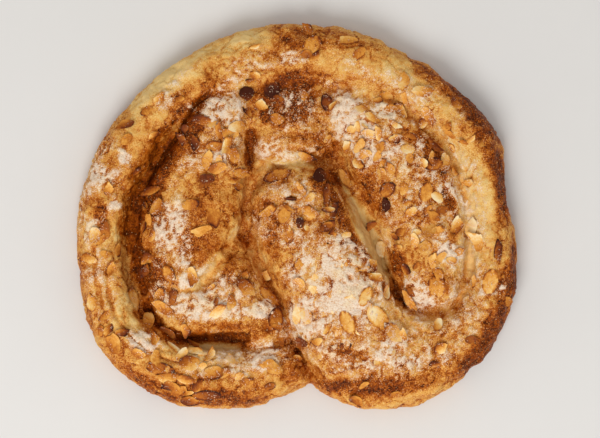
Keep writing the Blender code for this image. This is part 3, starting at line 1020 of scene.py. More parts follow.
GAP_FLOOR = ((0.23, 0.11), (0.28, 0.01), (0.32, -0.1), (0.36, -0.2), (0.4, -0.31))
GROOVE = (
    (0.42, 0.65), (0.58, 0.5), (0.69, 0.32), (0.76, 0.09), (0.77, -0.12), (0.75, -0.35), (0.67, -0.49),
)

STROKES = (
    # The slit: a slope down from the rope, a narrow cut at its foot, and the front part.
    Stroke(Cut.LEDGE, SLIT_LINE[:2:-1], 0.0048, 0.008),
    Stroke(Cut.SLOT, SLIT_LINE, 0.0016, 0.0042),
    Stroke(Cut.SLOT, SLIT_FRONT, 0.0032, 0.009),
    # The seam of the tongue and the left lump, and the split that leaves it.
    Stroke(Cut.VALLEY, SEAM, 0.0022, 0.003),
    Stroke(Cut.VALLEY, ((-0.24, -0.04), (-0.37, -0.25), (-0.46, -0.38), (-0.6, -0.37)), 0.0032, 0.0028),
    # The lip over the tongue, the crease behind it, and the tongue's top, flush with it.
    Stroke(
        Cut.RIDGE, ((-0.21, 0.25), (-0.12, 0.33), (-0.03, 0.37), (0.07, 0.34), (0.15, 0.26)), 0.0016, 0.0016
    ),
    Stroke(
        Cut.VALLEY, ((-0.2, 0.32), (-0.11, 0.39), (-0.02, 0.42), (0.09, 0.39), (0.18, 0.3)), 0.0016, 0.0010
    ),
    Stroke(Cut.RIDGE, ((-0.18, 0.23), (-0.11, 0.26), (-0.04, 0.26), (0.03, 0.23)), 0.0036, 0.003),
    # The gap right of the tongue: where it closes, its wide part, and its narrow front.
    Stroke(Cut.RIDGE, ((0.46, -0.44), (0.5, -0.49), (0.55, -0.54), (0.6, -0.56)), 0.0036, 0.003),
    Stroke(Cut.SLOT, ((0.17, 0.25), (0.25, 0.08), (0.34, -0.13), (0.42, -0.33)), 0.0040, 0.005),
    Stroke(
        Cut.SLOT, ((0.37, -0.2), (0.42, -0.31), (0.445, -0.38), (0.475, -0.45), (0.5, -0.49)), 0.0024, 0.006
    ),
    # The groove between the right lump and the rope.
    Stroke(
        Cut.VALLEY,
        ((0.38, 0.66), (0.6, 0.45), (0.72, 0.24), (0.77, -0.02), (0.77, -0.23), (0.72, -0.43), (0.6, -0.56)),
        0.0026,
        0.0005,
    ),
    # The groove left of the back patch.
    Stroke(Cut.VALLEY, ((-0.21, 0.46), (-0.21, 0.34), (-0.21, 0.23)), 0.0018, 0.0022),
    # The folds on the rope's front left.
    Stroke(
        Cut.VALLEY,
        ((-0.86, -0.24), (-0.84, -0.43), (-0.76, -0.6), (-0.62, -0.72), (-0.44, -0.77)),
        0.0013,
        0.0022,
    ),
    Stroke(Cut.VALLEY, ((-0.92, -0.12), (-0.9, -0.35), (-0.84, -0.56), (-0.73, -0.7)), 0.0012, 0.0018),
    Stroke(Cut.VALLEY, ((-0.79, -0.17), (-0.78, -0.3), (-0.74, -0.49)), 0.0012, 0.0016),
    # The notch.
    Stroke(Cut.VALLEY, ((0.0, -0.67), (0.06, -0.8), (0.09, -0.93)), 0.003, 0.003),
    # The folds at the back.
    Stroke(Cut.VALLEY, ((-0.11, 0.92), (-0.08, 0.82), (-0.01, 0.76)), 0.0006, 0.0008),
    Stroke(Cut.VALLEY, ((-0.21, 0.75), (-0.05, 0.75), (0.1, 0.73), (0.24, 0.67)), 0.0014, 0.0012),
    Stroke(Cut.VALLEY, ((0.01, 0.88), (0.15, 0.86), (0.31, 0.88)), 0.0006, 0.0008),
    # Two creases in the right lump, and the short black slit in the tongue.
    Stroke(Cut.VALLEY, ((0.38, 0.29), (0.39, 0.14), (0.43, -0.01)), 0.0012, 0.0012),
    Stroke(Cut.VALLEY, ((0.61, 0.44), (0.58, 0.33), (0.6, 0.2)), 0.0014, 0.0012),
    Stroke(Cut.SLOT, ((-0.06, 0.09), (-0.03, 0.1), (0.0, 0.09)), 0.0008, 0.003),
    # The rim of the slit's front, and a crease across the tongue.
    Stroke(Cut.RIDGE, ((-0.67, -0.63), (-0.55, -0.69), (-0.37, -0.7), (-0.21, -0.69)), 0.0014, 0.0006),
    Stroke(Cut.VALLEY, ((0.15, -0.27), (0.25, -0.25), (0.34, -0.31)), 0.0012, 0.0012),
)


def twins(path: tuple, half_width: float, bake_and_shade: float, sugar: float) -> tuple:
    """A streak of baking and one of sugar along the same path."""
    return Streak(Tint.BAKE_AND_SHADE, path, half_width, bake_and_shade), Streak(Tint.SUGAR, path, half_width, sugar)


STREAKS = (
    # Where the crust is smooth and dull: in the slit and on the gap's floor.
    Streak(Tint.CALM, SLIT_LINE, 0.0035, 1.0),
    Streak(Tint.CALM, SLIT_WALL, 0.0045, 1.0),
    Streak(Tint.CALM, SLIT_FRONT[:-1], 0.0038, 1.0),
    Streak(Tint.CALM, GAP_FLOOR, 0.005, 1.0),
    # The slit: its dark right edge and its right bank, partly browning and partly painted shade from the lump
    # beside them; its left wall; its back end; and the rim along its front.
    Streak(Tint.BAKE_AND_SHADE, SLIT_LINE, 0.0024, 0.24),
    *twins(SLIT_WALL, 0.005, 0.1, -0.6),
    *twins(SLIT_BANK, 0.0045, 0.28, -0.6),
    Streak(Tint.BAKE_AND_SHADE, ((-0.38, 0.65), (-0.42, 0.61), (-0.46, 0.57), (-0.49, 0.5)), 0.0016, 0.24),
    Streak(
        Tint.SUGAR,
        ((-0.58, -0.64), (-0.49, -0.66), (-0.39, -0.66), (-0.29, -0.66), (-0.2, -0.65)),
        0.0034,
        -0.7,
    ),
    # The skins stretched over the split.
    Streak(Tint.BAKE_AND_SHADE, ((-0.34, -0.18), (-0.39, -0.25), (-0.45, -0.32), (-0.5, -0.38)), 0.0036, -0.36),
    Streak(Tint.SUGAR, ((-0.34, -0.18), (-0.39, -0.25), (-0.45, -0.32), (-0.5, -0.38)), 0.0034, 0.7),
    *twins(((-0.31, -0.15), (-0.29, -0.1), (-0.26, -0.04)), 0.0022, -0.34, 0.7),
    Streak(Tint.BAKE_AND_SHADE, ((-0.22, -0.15), (-0.19, -0.24), (-0.16, -0.31)), 0.0024, -0.3),
    # The gap: its raw floor; the tongue's dark edge and the gap's dark front end, both partly browning and
    # partly painted shade in the narrow gap; and its right wall.
    Streak(Tint.BAKE_AND_SHADE, GAP_FLOOR, 0.0062, -0.5),
    Streak(
        Tint.BAKE_AND_SHADE,
        ((0.16, 0.22), (0.22, 0.09), (0.25, 0.01), (0.29, -0.1), (0.34, -0.24), (0.39, -0.35), (0.46, -0.45)),
        0.002,
        0.34,
    ),
    Streak(Tint.BAKE_AND_SHADE, ((0.42, -0.31), (0.45, -0.4), (0.49, -0.47)), 0.0018, 0.25),
    Streak(Tint.SUGAR, ((0.29, 0.07), (0.34, -0.02), (0.39, -0.11), (0.42, -0.19)), 0.004, 0.52),
    # The shallow groove between the right lump and the rope, as pale as its sides.
    *twins(GROOVE, 0.006, -0.2, 0.52),
    # The rope's browned outer edge, and the pale rim inside its front left.
    Streak(
        Tint.BAKE_AND_SHADE,
        ((0.49, 0.8), (0.65, 0.68), (0.78, 0.54), (0.86, 0.37), (0.92, 0.16), (0.94, -0.07)),
        0.005,
        0.4,
    ),
    Streak(
        Tint.BAKE_AND_SHADE, ((0.97, -0.2), (0.97, -0.38), (0.92, -0.58), (0.83, -0.73), (0.65, -0.87)), 0.0045, 0.2
    ),
    Streak(
        Tint.BAKE_AND_SHADE,
        ((-0.77, -0.36), (-0.73, -0.49), (-0.66, -0.6), (-0.54, -0.68), (-0.39, -0.7), (-0.24, -0.69)),
        0.005,
        -0.26,
    ),
    # A paler seam left of the tongue.
    Streak(Tint.BAKE_AND_SHADE, ((-0.24, 0.27), (-0.23, 0.11), (-0.24, -0.04)), 0.004, -0.18),
    # The sugared fold on the right, and the dark line beside it.
    *twins(((0.69, 0.16), (0.75, 0.06), (0.81, -0.07)), 0.003, -0.2, 1.1),
    Streak(Tint.BAKE_AND_SHADE, ((0.64, 0.14), (0.69, 0.05), (0.74, -0.06), (0.78, -0.13)), 0.0016, 0.3),
    # The bank over the slit's front, and its pale lower rim, partly its sugar and partly painted light
    # against the shade on its back-facing slope.
    Streak(Tint.BAKE_AND_SHADE, ((-0.57, -0.53), (-0.44, -0.56), (-0.24, -0.56)), 0.003, 0.14),
    Streak(Tint.SUGAR, ((-0.49, -0.56), (-0.35, -0.56), (-0.24, -0.55)), 0.003, -0.3),
    Streak(Tint.BAKE_AND_SHADE, ((-0.51, -0.69), (-0.37, -0.68), (-0.24, -0.67)), 0.003, -0.12),
    Streak(Tint.SUGAR, ((-0.46, -0.69), (-0.35, -0.67), (-0.24, -0.68)), 0.003, 0.15),
    # The caramel's dark ring.
    *twins(((-0.09, 0.71), (-0.05, 0.72), (-0.0, 0.71), (0.04, 0.69), (0.07, 0.66)), 0.0026, 0.34, -0.4),
    *twins(((-0.14, 0.62), (-0.15, 0.57), (-0.15, 0.52), (-0.15, 0.46)), 0.0024, 0.34, -0.4),
    Streak(Tint.BAKE_AND_SHADE, ((0.08, 0.66), (0.07, 0.6), (0.06, 0.55), (0.03, 0.51)), 0.0018, 0.26),
)


class TintMap:
    """The patches and streaks as fields over the plan. The patches' edges wander, as a baked surface's do."""

    patches = {Tint.BAKE_AND_SHADE: BAKE_AND_SHADE_PATCHES, Tint.SUGAR: SUGAR_PATCHES, Tint.NUTS: NUT_PATCHES, Tint.CALM: ()}
    start = {Tint.BAKE_AND_SHADE: 0.41, Tint.SUGAR: 0.0, Tint.NUTS: 0.12, Tint.CALM: 0.0}
    wander = ((0.016, 0.0030), (0.005, 0.0013))

    def __init__(self, places: np.ndarray) -> None:
        """Warps the places once.

        Args:
            places: x and y of each place, in metres.
        """
        self.still = places
        moved = places.copy()
        for size, reach in self.wander:
            flat = np.column_stack([places / size, np.full(len(places), 3.7)])
            moved += reach * np.array([noise.noise_vector(Vector(p))[:2] for p in flat])
        self.places = moved

    def values(self, tint: Tint) -> np.ndarray:
        """A tint's value at each place: baking adds up, others take the strongest mark less the bare ones.

        Args:
            tint: the tint.

        Returns:
            One number for each place.
        """
        marks = [(patch.amount, patch.mask(self.places)) for patch in self.patches[tint]]
        marks += [(streak.amount, streak.mask(self.still)) for streak in STREAKS if streak.tint is tint]
        total = np.full(len(self.places), self.start[tint])
        for amount, mask in marks:
            if tint is not Tint.BAKE_AND_SHADE and amount > 0:
                total = np.maximum(total, amount * mask)
        for amount, mask in marks:
            if tint is Tint.BAKE_AND_SHADE or amount < 0:
                total = total + amount * mask
        return total


@dataclass
class Dough:
    """The baked dough: the CAD solid's skin made fine, carved, roughened and tinted."""

    # The skin, the lowest level that strokes reach, and the flat base.
    voxel: float = 0.0012
    ease_passes: int = 12
    floor_level: float = 0.0062
    base_level: float = 0.0004
    base_fade: float = 0.003
    margin: float = 0.0004
    # The relief: lumps, crumb, strands, creases, crusted sugar, and layers on the sides.
    lumps: tuple = (Grain(0.030, 2, 0.0014, 1.3), Grain(0.012, 3, 0.00175, 5.1))
    crumb: Grain = Grain(0.0040, 3, 0.00095, 9.4)
    bare_crumb: float = 0.3
    strand_depth: float = 0.0006
    strand_turns: float = 3.2
    strand_count: float = 24
    strand_start: float = 0.68
    crease_depth: float = 0.0008
    crease_width: float = 0.06
    crease_paths: Grain = Grain(0.017, 3, 1.0, 57.0)
    sugar_depth: float = 0.0010
    sugar_lumps: Grain = Grain(0.0034, 2, 1.0, 17.0)
    layer_pitch: float = 0.0027
    layer_depth: float = 0.00035
    layer_waves: Grain = Grain(0.03, 2, 1.6, 23.0)
    layer_gaps: Grain = Grain(0.02, 1, 1.0, 31.0)
    # The measures of relief that count as full, in small and at large.
    fine_passes: int = 11
    fine_relief: float = 0.00022
    broad_passes: int = 70
    broad_relief: float = 0.0009
    # What browns the crust, and how much. The slits, creases, hollows and the rings round the nuts are
    # darkened partly by browning and partly as painted shade.
    rim_level: float = 0.0055
    rim_bake: float = 0.26
    blotches: Grain = Grain(0.020, 3, 0.15, 41.0)
    carved_bake_and_shade: float = 0.05
    crease_bake_and_shade: float = 0.16
    strand_bake: float = 0.14
    hollow_bake_and_shade: float = 0.05
    nut_bake_and_shade: float = 0.16
    darkest: float = 0.84
    # What gathers sugar and what keeps it off. Thinner sugar in hollows and thicker on rises is painted
    # shade, and thinner sugar round the nuts is partly painted shade.
    fine_sugar_and_shade: float = 0.14
    broad_sugar_and_shade: float = 0.12
    nut_bare_and_shade: float = 0.3
    carved_bare: float = 0.6
    burnt_bare: float = 0.9
    burnt_level: float = 0.52

    def skin(self) -> bpy.types.Mesh:
        """The CAD solid as small even faces with its corners eased.

        Returns:
            The new mesh.
        """
        shape = bmesh.new()
        shape.from_mesh(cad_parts[DOUGH_NODE].data)
        bmesh.ops.remove_doubles(shape, verts=shape.verts, dist=1e-6)
        mesh = mesh_from("skin", shape)
        return modified(
            mesh,
            ("REMESH", {"mode": "VOXEL", "voxel_size": self.voxel}),
            ("SMOOTH", {"factor": 0.5, "iterations": self.ease_passes}),
        )

    def carve(self, points: np.ndarray) -> np.ndarray:
        """Presses the strokes into the points, in place, and returns how deep each point went.

        Args:
            points: the skin's points.

        Returns:
            How deep each point went, below 0 on ridges.
        """
        before = points[:, 2].copy()
        for stroke in STROKES:
            aside, passed = near_path(points[:, :2], smooth_path(stroke.path, 0.002))
            near = np.abs(aside) / stroke.half_width
            if stroke.cut is Cut.SLOT:
                depth = smooth_step((1.5 - near) / 0.9)
            elif stroke.cut is Cut.LEDGE:
                depth = np.where(aside > 0, np.exp(-near), np.exp(-(near**2) * 9))
            else:
                depth = np.exp(-(near**2))
            depth *= ends_fade(passed) * stroke.depth
            if stroke.cut is Cut.RIDGE:
                depth = -depth
            room = np.clip((points[:, 2] - self.floor_level) / stroke.depth, 0, 1)
            points[:, 2] -= depth * room
        return before - points[:, 2]

    def creases(self, points: np.ndarray) -> np.ndarray:
        """Fine wandering cracks over the crust, 1 in their middle.

        Args:
            points: the skin's points.

        Returns:
            One number for each point, from 0 to 1.
        """
        return np.exp(-((self.crease_paths.over(points) / self.crease_width) ** 2))

    def strands(self, points: np.ndarray) -> np.ndarray:
        """Long stretched strands that run round the outer rope, about -1 to 1, and 0 inside it.

        Args:
            points: the skin's points.

        Returns:
            One number for each point.
        """
        shares = (points[:, :2] - PLAN.middle) / PLAN.half
        reach = np.hypot(shares[:, 0], shares[:, 1])
        round_about = shares / np.maximum(reach, 0.1)[:, None] * self.strand_turns
        lines = fractal(np.column_stack([round_about, reach * self.strand_count]), 3)
        return lines * smooth_step((reach - self.strand_start) / 0.14)

    def roughen(self, mesh: bpy.types.Mesh, sugar: np.ndarray) -> None:
        """Adds blisters, layers of dough on the sides, and crusted sugar, along the normals.

        Args:
            mesh: the carved skin.
            sugar: how thick the sugar lies at each point.
        """
        points, normals = read_points(mesh), read_normals(mesh)
        sugar = np.clip(sugar, 0, 1)
        push = sum(layer.over(points) for layer in self.lumps)
        push += (self.bare_crumb + (1 - self.bare_crumb) * sugar) * self.crumb.over(points)
        push += self.strand_depth * self.strands(points)
        push -= self.crease_depth * self.creases(points)
        push += self.sugar_depth * sugar * (0.4 + self.sugar_lumps.over(points))
        sides = smooth_step((0.75 - np.abs(normals[:, 2])) / 0.5) * smooth_step(points[:, 2] / 0.004)
        wave = points[:, 2] / self.layer_pitch + self.layer_waves.over(points)
        ridges = 2 * np.abs(wave % 1 - 0.5) - 0.5
        push += self.layer_depth * sides * ridges * (1 + self.layer_gaps.over(points))
        keep = smooth_step((points[:, 2] - self.base_level) / self.base_fade)
        points += normals * (push * keep)[:, None]
        write_points(mesh, points)

    def fit(self, mesh: bpy.types.Mesh) -> None:
        """Keeps the points inside the CAD box and makes the base flat.

        Args:
            mesh: the roughened skin.
        """
        low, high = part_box(DOUGH_NODE)
        points = read_points(mesh)
        points = np.clip(points, np.array(low) + self.margin, np.array(high) - self.margin)
        points[points[:, 2] < self.base_level + self.margin, 2] = low[2]
        write_points(mesh, points)

    def close_base(self, mesh: bpy.types.Mesh) -> None:
        """Replaces the many small faces of the flat base by one, which saves triangles.

        Args:
            mesh: the fitted skin.
        """
        shape = bmesh.new()
        shape.from_mesh(mesh)
        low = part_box(DOUGH_NODE)[0].z
        flat = [f for f in shape.faces if all(v.co.z < low + 1e-5 for v in f.verts)]
        bmesh.ops.delete(shape, geom=flat, context="FACES")
        bmesh.ops.delete(shape, geom=[v for v in shape.verts if not v.link_faces], context="VERTS")
        rims = [e for e in shape.edges if e.is_boundary]
        bmesh.ops.holes_fill(shape, edges=rims, sides=0)
        bmesh.ops.triangulate(shape, faces=[f for f in shape.faces if len(f.verts) > 4])
        shape.to_mesh(mesh)
        shape.free()

    def tint(self, mesh: bpy.types.Mesh, carved: np.ndarray) -> None:
        """Stores relief, baking with painted shade in slits, creases, hollows and round the nuts, sugar, and
        calm at each point.

        Args:
            mesh: the finished dough.
            carved: how deep the strokes went at each point.
        """
        points, normals = read_points(mesh), read_normals(mesh)
        fields = TintMap(points[:, :2])
        fine = np.clip(relief_of(mesh, self.fine_passes) / self.fine_relief, -1.5, 1.5)
        broad = np.clip(relief_of(mesh, self.broad_passes) / self.broad_relief, -1.5, 1.5)
        beside = browning_and_shade_round_nuts(points[:, :2])
        bake_and_shade = fields.values(Tint.BAKE_AND_SHADE)
        bake_and_shade += self.rim_bake * smooth_step((self.rim_level - points[:, 2]) / self.rim_level)
        # Slits, creases and hollows darken partly by browning and partly as painted shade; so does the ring
        # round each nut.
        bake_and_shade += self.blotches.over(points) + self.carved_bake_and_shade * smooth_step(carved / 0.005)
        bake_and_shade += self.crease_bake_and_shade * self.creases(points) + self.strand_bake * self.strands(points)
        bake_and_shade -= self.hollow_bake_and_shade * (fine + broad)
        bake_and_shade += self.nut_bake_and_shade * beside
        sugar = fields.values(Tint.SUGAR) - self.nut_bare_and_shade * beside
        # Less sugar in hollows and more on rises: painted shade.
        sugar += (self.fine_sugar_and_shade * fine + self.broad_sugar_and_shade * broad) * smooth_step(sugar / 0.3)
        sugar *= smooth_step((normals[:, 2] + 0.05) / 0.5)
        sugar -= self.carved_bare * smooth_step(carved / 0.006)
        burnt = np.clip(bake_and_shade - self.burnt_level, 0, 0.4)
        sugar -= self.burnt_bare * burnt * smooth_step((0.8 - sugar) / 0.3)
        write_value(mesh, "relief", broad)
        write_value(mesh, Tint.BAKE_AND_SHADE.value, np.minimum(bake_and_shade, self.darkest))
        write_value(mesh, Tint.SUGAR.value, sugar)
        write_value(mesh, Tint.CALM.value, fields.values(Tint.CALM))

    def build(self, material: bpy.types.Material) -> bpy.types.Object:
        """The dough as one closed piece.

        Args:
            material: the baked crust.

        Returns:
            The piece.
        """
        mesh = self.skin()
        points = read_points(mesh)
        write_value(mesh, "carved", self.carve(points))
        write_points(mesh, points)
        self.roughen(mesh, TintMap(points[:, :2]).values(Tint.SUGAR))
        self.fit(mesh)
        self.close_base(mesh)
        self.tint(mesh, read_value(mesh, "carved"))
        mesh.name = "dough_crust"
        mesh.shade_smooth()
        piece = show("dough_crust", mesh, material)
        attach(piece, BODY)
        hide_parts(DOUGH_NODE)
        return piece


# ---------------------------------------------------------------- almonds


class Crust:
    """The finished dough's surface, to lay things on."""

    reach = 0.003
    hollow = -0.9

    def __init__(self, dough: bpy.types.Object) -> None:
        """Reads the piece and the smoother CAD solid under it.

        Args:
            dough: the finished dough.
        """
        self.mesh = dough.data
        self.relief = read_value(dough.data, "relief")
        self.fine = tree_of(dough.data)
        self.broad = tree_of(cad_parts[DOUGH_NODE].data)
        self.low, self.high = (np.array(corner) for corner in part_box(DOUGH_NODE))

    def spot(self, place: np.ndarray) -> tuple:
        """The surface's point at a place on the plan, and the way the crust faces round it.

        Args:
            place: x and y.

        Returns:
            The point and the normal, or (None, None) beside the dough.
        """
        hit = self.fine.ray_cast(Vector((*place, 2 * self.high[2])), Vector((0, 0, -1)))[0]
        if hit is None:
            return None, None
        ways = ((1, 0, 0), (-1, 0, 0), (0, 1, 0), (0, -1, 0))
        normals = [self.broad.find_nearest(hit + Vector(way) * self.reach)[1] for way in ways]
        return hit, sum(normals, Vector()).normalized()

    @staticmethod
    def flatter(normal: Vector, share: float) -> Vector:
        """The normal, turned up by a share: the flakes lie less steeply than the slope under them.

        Args:
            normal: the slope's normal.
            share: how far it is turned up; 0 leaves it as it is.

        Returns:
            The new normal.
        """
        return (normal + Vector((0, 0, share))).normalized()

    def in_hollow(self, hit: Vector) -> bool:
        """Whether a point of the surface lies deep in a slit or a seam.

        Args:
            hit: the point.

        Returns:
            True in a hollow.
        """
        face = self.mesh.polygons[self.fine.find_nearest(hit)[2]]
        return self.relief[face.vertices[0]] < self.hollow

    def drape(
        self, points: np.ndarray, hit: Vector, normal: Vector, bearing: float, hug: float, sink: float
    ) -> np.ndarray:
        """Lays points that are round the origin on the surface.

        Args:
            points: the piece's points, lying flat and facing +Z.
            hit: where its middle goes.
            normal: the way it faces.
            bearing: the direction of its +X, in degrees.
            hug: how far it bends to the surface's own shape, from 0 to 1.
            sink: how deep its lowest part may be in the surface, in metres.

        Returns:
            The laid points, moved as one if any was outside the CAD box.
        """
        along = Vector((*heading(bearing), 0))
        along = (along - normal * along.dot(normal)).normalized()
        axes = np.array([along, normal.cross(along), normal])
        spread = np.array(hit) + points[:, :2] @ axes[:2]
        bed = np.array([(self.fine.find_nearest(Vector(p))[0] - hit).dot(normal) for p in spread])
        lift = max(0.0, float(((1 - hug) * bed).max())) - sink
        rise = hug * bed + lift + points[:, 2]
        laid = spread + rise[:, None] * axes[2]
        return moved_inside(laid, self.low, self.high)


def moved_inside(points: np.ndarray, low: np.ndarray, high: np.ndarray) -> np.ndarray:
    """The points of one thing, or of each thing in a stack, moved as one where any is outside a box."""
    short = np.maximum(low - points.min(axis=-2, keepdims=True), 0)
    over = np.minimum(high - points.max(axis=-2, keepdims=True), 0)
    return points + short + over


class Shape(Enum):
    """How much of an almond a flake is: the share of the length where it is broken off at each end."""

    WHOLE = (-1.0, 1.0)
    BLUNT = (-1.0, 0.7)
    TIP = (-0.2, 1.0)
    HEEL = (-1.0, 0.25)
    CHIP = (-0.75, 0.5)


@dataclass(frozen=True)
class Flake:
    """One almond flake: its place, bearing, length, width and toasting."""

    u: float
    v: float
    bearing: float
    length: float
    width: float
    toast: float


PLACED_FLAKES = tuple(
    Flake(u, v, bearing, length / 1000, width / 1000, toast)
    for u, v, bearing, length, width, toast in (
        (-0.227, 0.63, 0, 10.2, 10.2, 1), (-0.113, 0.645, 20, 10.9, 9.5, 1.02),
        (-0.091, 0.5, -20, 10.2, 7.8, 0.5), (-0.227, 0.541, -60, 8.2, 5.4, 0.7),
        (0.104, 0.21, 50, 13.6, 9.5, 1), (0.014, -0.034, 90, 7.5, 5.4, 0.95),
        (0.404, 0.06, 70, 8.2, 6.6, 1.15), (-0.404, 0.189, 20, 10.9, 8.8, 0.8),
        (-0.476, 0.06, 10, 12.2, 7.5, 0.5), (-0.921, -0.443, 80, 9.5, 8.2, 0.25),
        (-0.136, -0.308, 10, 12.2, 6.8, 0.25), (-0.558, -0.417, 75, 10.9, 5.4, 0.65),
        (-0.395, -0.723, 60, 10.9, 5.4, 0.3), (-0.571, -0.826, 10, 15, 6.8, 0.4),
        (-0.499, -0.837, -15, 12.2, 6.1, 0.45), (-0.531, -0.899, 30, 12.2, 6.8, 0.5),
        (-0.444, -0.868, 50, 10.9, 6.1, 0.65), (0.567, 0.479, 60, 7.5, 6.1, 0.4),
        (0.472, 0.541, -60, 11.6, 5.4, 0.42), (0.481, 0.137, 70, 8.2, 5.4, 0.35),
        (0.512, 0.023, 30, 9.5, 6.1, 0.3), (0.036, 0.313, -35, 13.6, 5.4, 0.45),
        (0.227, 0.365, 60, 8.2, 5.4, 0.2), (0.277, 0.272, -20, 9.5, 6.1, 0.3),
        (0.295, 0.552, 20, 8.2, 5.4, 0.3), (0.34, 0.505, -45, 10.9, 5.4, 0.3),
        (0.399, 0.624, 0, 9.5, 5.4, 0.4), (0.676, 0.459, 20, 6.8, 5.4, 0.5), (0.44, 0.396, 0, 8.2, 6.1, 0.55),
        (0.367, 0.422, 90, 9.5, 4.8, 0.3), (0.717, -0.054, 60, 10.9, 8.8, 0.45),
        (0.268, -0.288, 90, 8.2, 3.4, 0.4), (0.349, -0.313, 0, 10.9, 6.1, 0.35),
        (-0.054, 0.008, 60, 12.2, 8.2, 0.42), (0.05, 0.018, -30, 12.2, 8.2, 0.35),
        (0.059, -0.049, 30, 9.5, 5.4, 0.35), (0.15, -0.111, 60, 9.5, 5.4, 0.8),
        (0.132, -0.054, 30, 9.5, 6.1, 0.7), (0.512, -0.391, -60, 6.8, 4.1, 0.7),
        (0.78, -0.63, 10, 8.2, 5.4, 0.75), (0.644, -0.676, 0, 8.2, 7.5, 0.4),
        (0.222, 0.904, 0, 16.3, 6.8, 0.35), (0.78, 0.174, 20, 8.2, 5.4, 0.28),
        (0.132, 0.106, 82, 17.7, 5.4, 0.7), (0.163, 0.023, 70, 13.6, 4.8, 0.8),
        (-0.667, -0.215, 0, 8.2, 8.2, 0.6), (-0.458, 0.37, 80, 9.5, 6.1, 0.85),
        (-0.272, 0.158, -30, 8.2, 5.4, 0.6), (-0.186, 0.728, 0, 6.8, 6.1, 0.35),
        (0.249, 0.448, 0, 6.8, 5.4, 0.25), (0.104, -0.433, 30, 9.5, 6.8, 0.2),
        (0.159, -0.355, -20, 10.9, 6.1, 0.3), (0.059, -0.277, 10, 9.5, 8.2, 0.25),
        (0.014, -0.236, 60, 9.5, 6.1, 0.45), (0.399, -0.391, 80, 10.2, 6.1, 0.25),
        (0.263, -0.609, -60, 9.5, 5.4, 0.1), (0.095, -0.64, 30, 8.2, 5.4, 0.35),
        # The narrow burnt flake at (-0.027, 0.088) is painted shadow: it stands for the dark gap of the short
        # slit in the tongue.
        (0.03, -0.65, 0, 8.2, 6.8, 0.8), (-0.027, 0.088, -6, 7.8, 2, 1), (0.134, -0.052, 25, 12, 6.2, 0.7),
        (0.218, -0.666, 0, 8.2, 6.1, 0.85), (0.717, 0.578, -40, 9.5, 6.1, 0.58),
        (0.649, 0.034, 0, 8.2, 5.4, 0.65), (0.63, -0.07, 20, 8.2, 5.4, 0.35),
        (0.34, -0.044, 30, 8.2, 5.4, 0.65), (0.467, -0.08, 0, 6.8, 5.4, 0.6),
        (-0.812, -0.174, 70, 9.5, 5.4, 0.5), (-0.839, -0.267, 60, 8.2, 5.4, 0.45),
        (-0.88, -0.588, 70, 9.5, 5.4, 0.55), (-0.712, -0.702, -30, 9.5, 6.1, 0.4),
        (-0.327, -0.806, 20, 9.5, 6.8, 0.45), (-0.222, -0.847, 0, 8.2, 5.4, 0.5),
        (-0.122, -0.873, 10, 8.2, 5.4, 0.62), (-0.676, 0.541, 35, 9.5, 5.4, 0.5),
        (-0.621, 0.604, 30, 8.2, 5.4, 0.4), (-0.766, 0.396, 50, 9.5, 6.1, 0.45),
        (-0.848, 0.137, 60, 8.2, 6.1, 0.4),
    )
)


# The darker ring round a nut, partly browning and partly painted shade where the nut meets the crust, in
# shares of its half width, and the turn of its darker side from nut to nut.
NUT_RING_REACH, NUT_RING_WIDTH = 1.1, 0.4
NUT_RING_TURN = 2.4


def measure_slice(node: str) -> tuple:
    """A CAD slice's middle, bearing, length and width, from how its points spread.

    Args:
        node: the slice's node.

    Returns:
        Its middle on the plan, its bearing in degrees, and its length and width in metres.
    """
    points = read_points(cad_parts[node].data)
    middle = (points.max(axis=0) + points.min(axis=0)) / 2
    offset = points - points.mean(axis=0)
    _, axes = np.linalg.eigh(offset.T @ offset)
    long, wide = axes[:, 2], axes[:, 1]
    reach = offset @ long
    if abs(reach.max()) < abs(reach.min()):
        long = -long
    bearing = math.degrees(math.atan2(long[1], long[0]))
    return middle[:2], bearing, np.ptp(offset @ long), np.ptp(offset @ wide)


def browning_and_shade_round_nuts(places: np.ndarray) -> np.ndarray:
    """How far the crust is darkened round the slices and the placed flakes, partly browning and partly
    painted shade, 0 to 1, more on one side.

    Args:
        places: x and y of each place.

    Returns:
        One number for each place.
    """
    nuts = [(PLAN.at(f.u, f.v), f.bearing, f.length, f.width) for f in PLACED_FLAKES]
    nuts += [measure_slice(node) for node in SLICE_NODES]
    total = np.zeros(len(places))
    for k, (middle, bearing, length, width) in enumerate(nuts):
        along, across = along_and_across(places, middle, bearing)
        along, across = along * 2 / length, across * 2 / width
        reach = np.hypot(along, across)
        way = k * NUT_RING_TURN
        lean = (along * math.cos(way) + across * math.sin(way)) / np.maximum(reach, 0.1)
        ring = np.exp(-(((reach - NUT_RING_REACH) / NUT_RING_WIDTH) ** 2))
        total = np.maximum(total, np.clip(0.45 + lean, 0, 1) * ring)
    return total


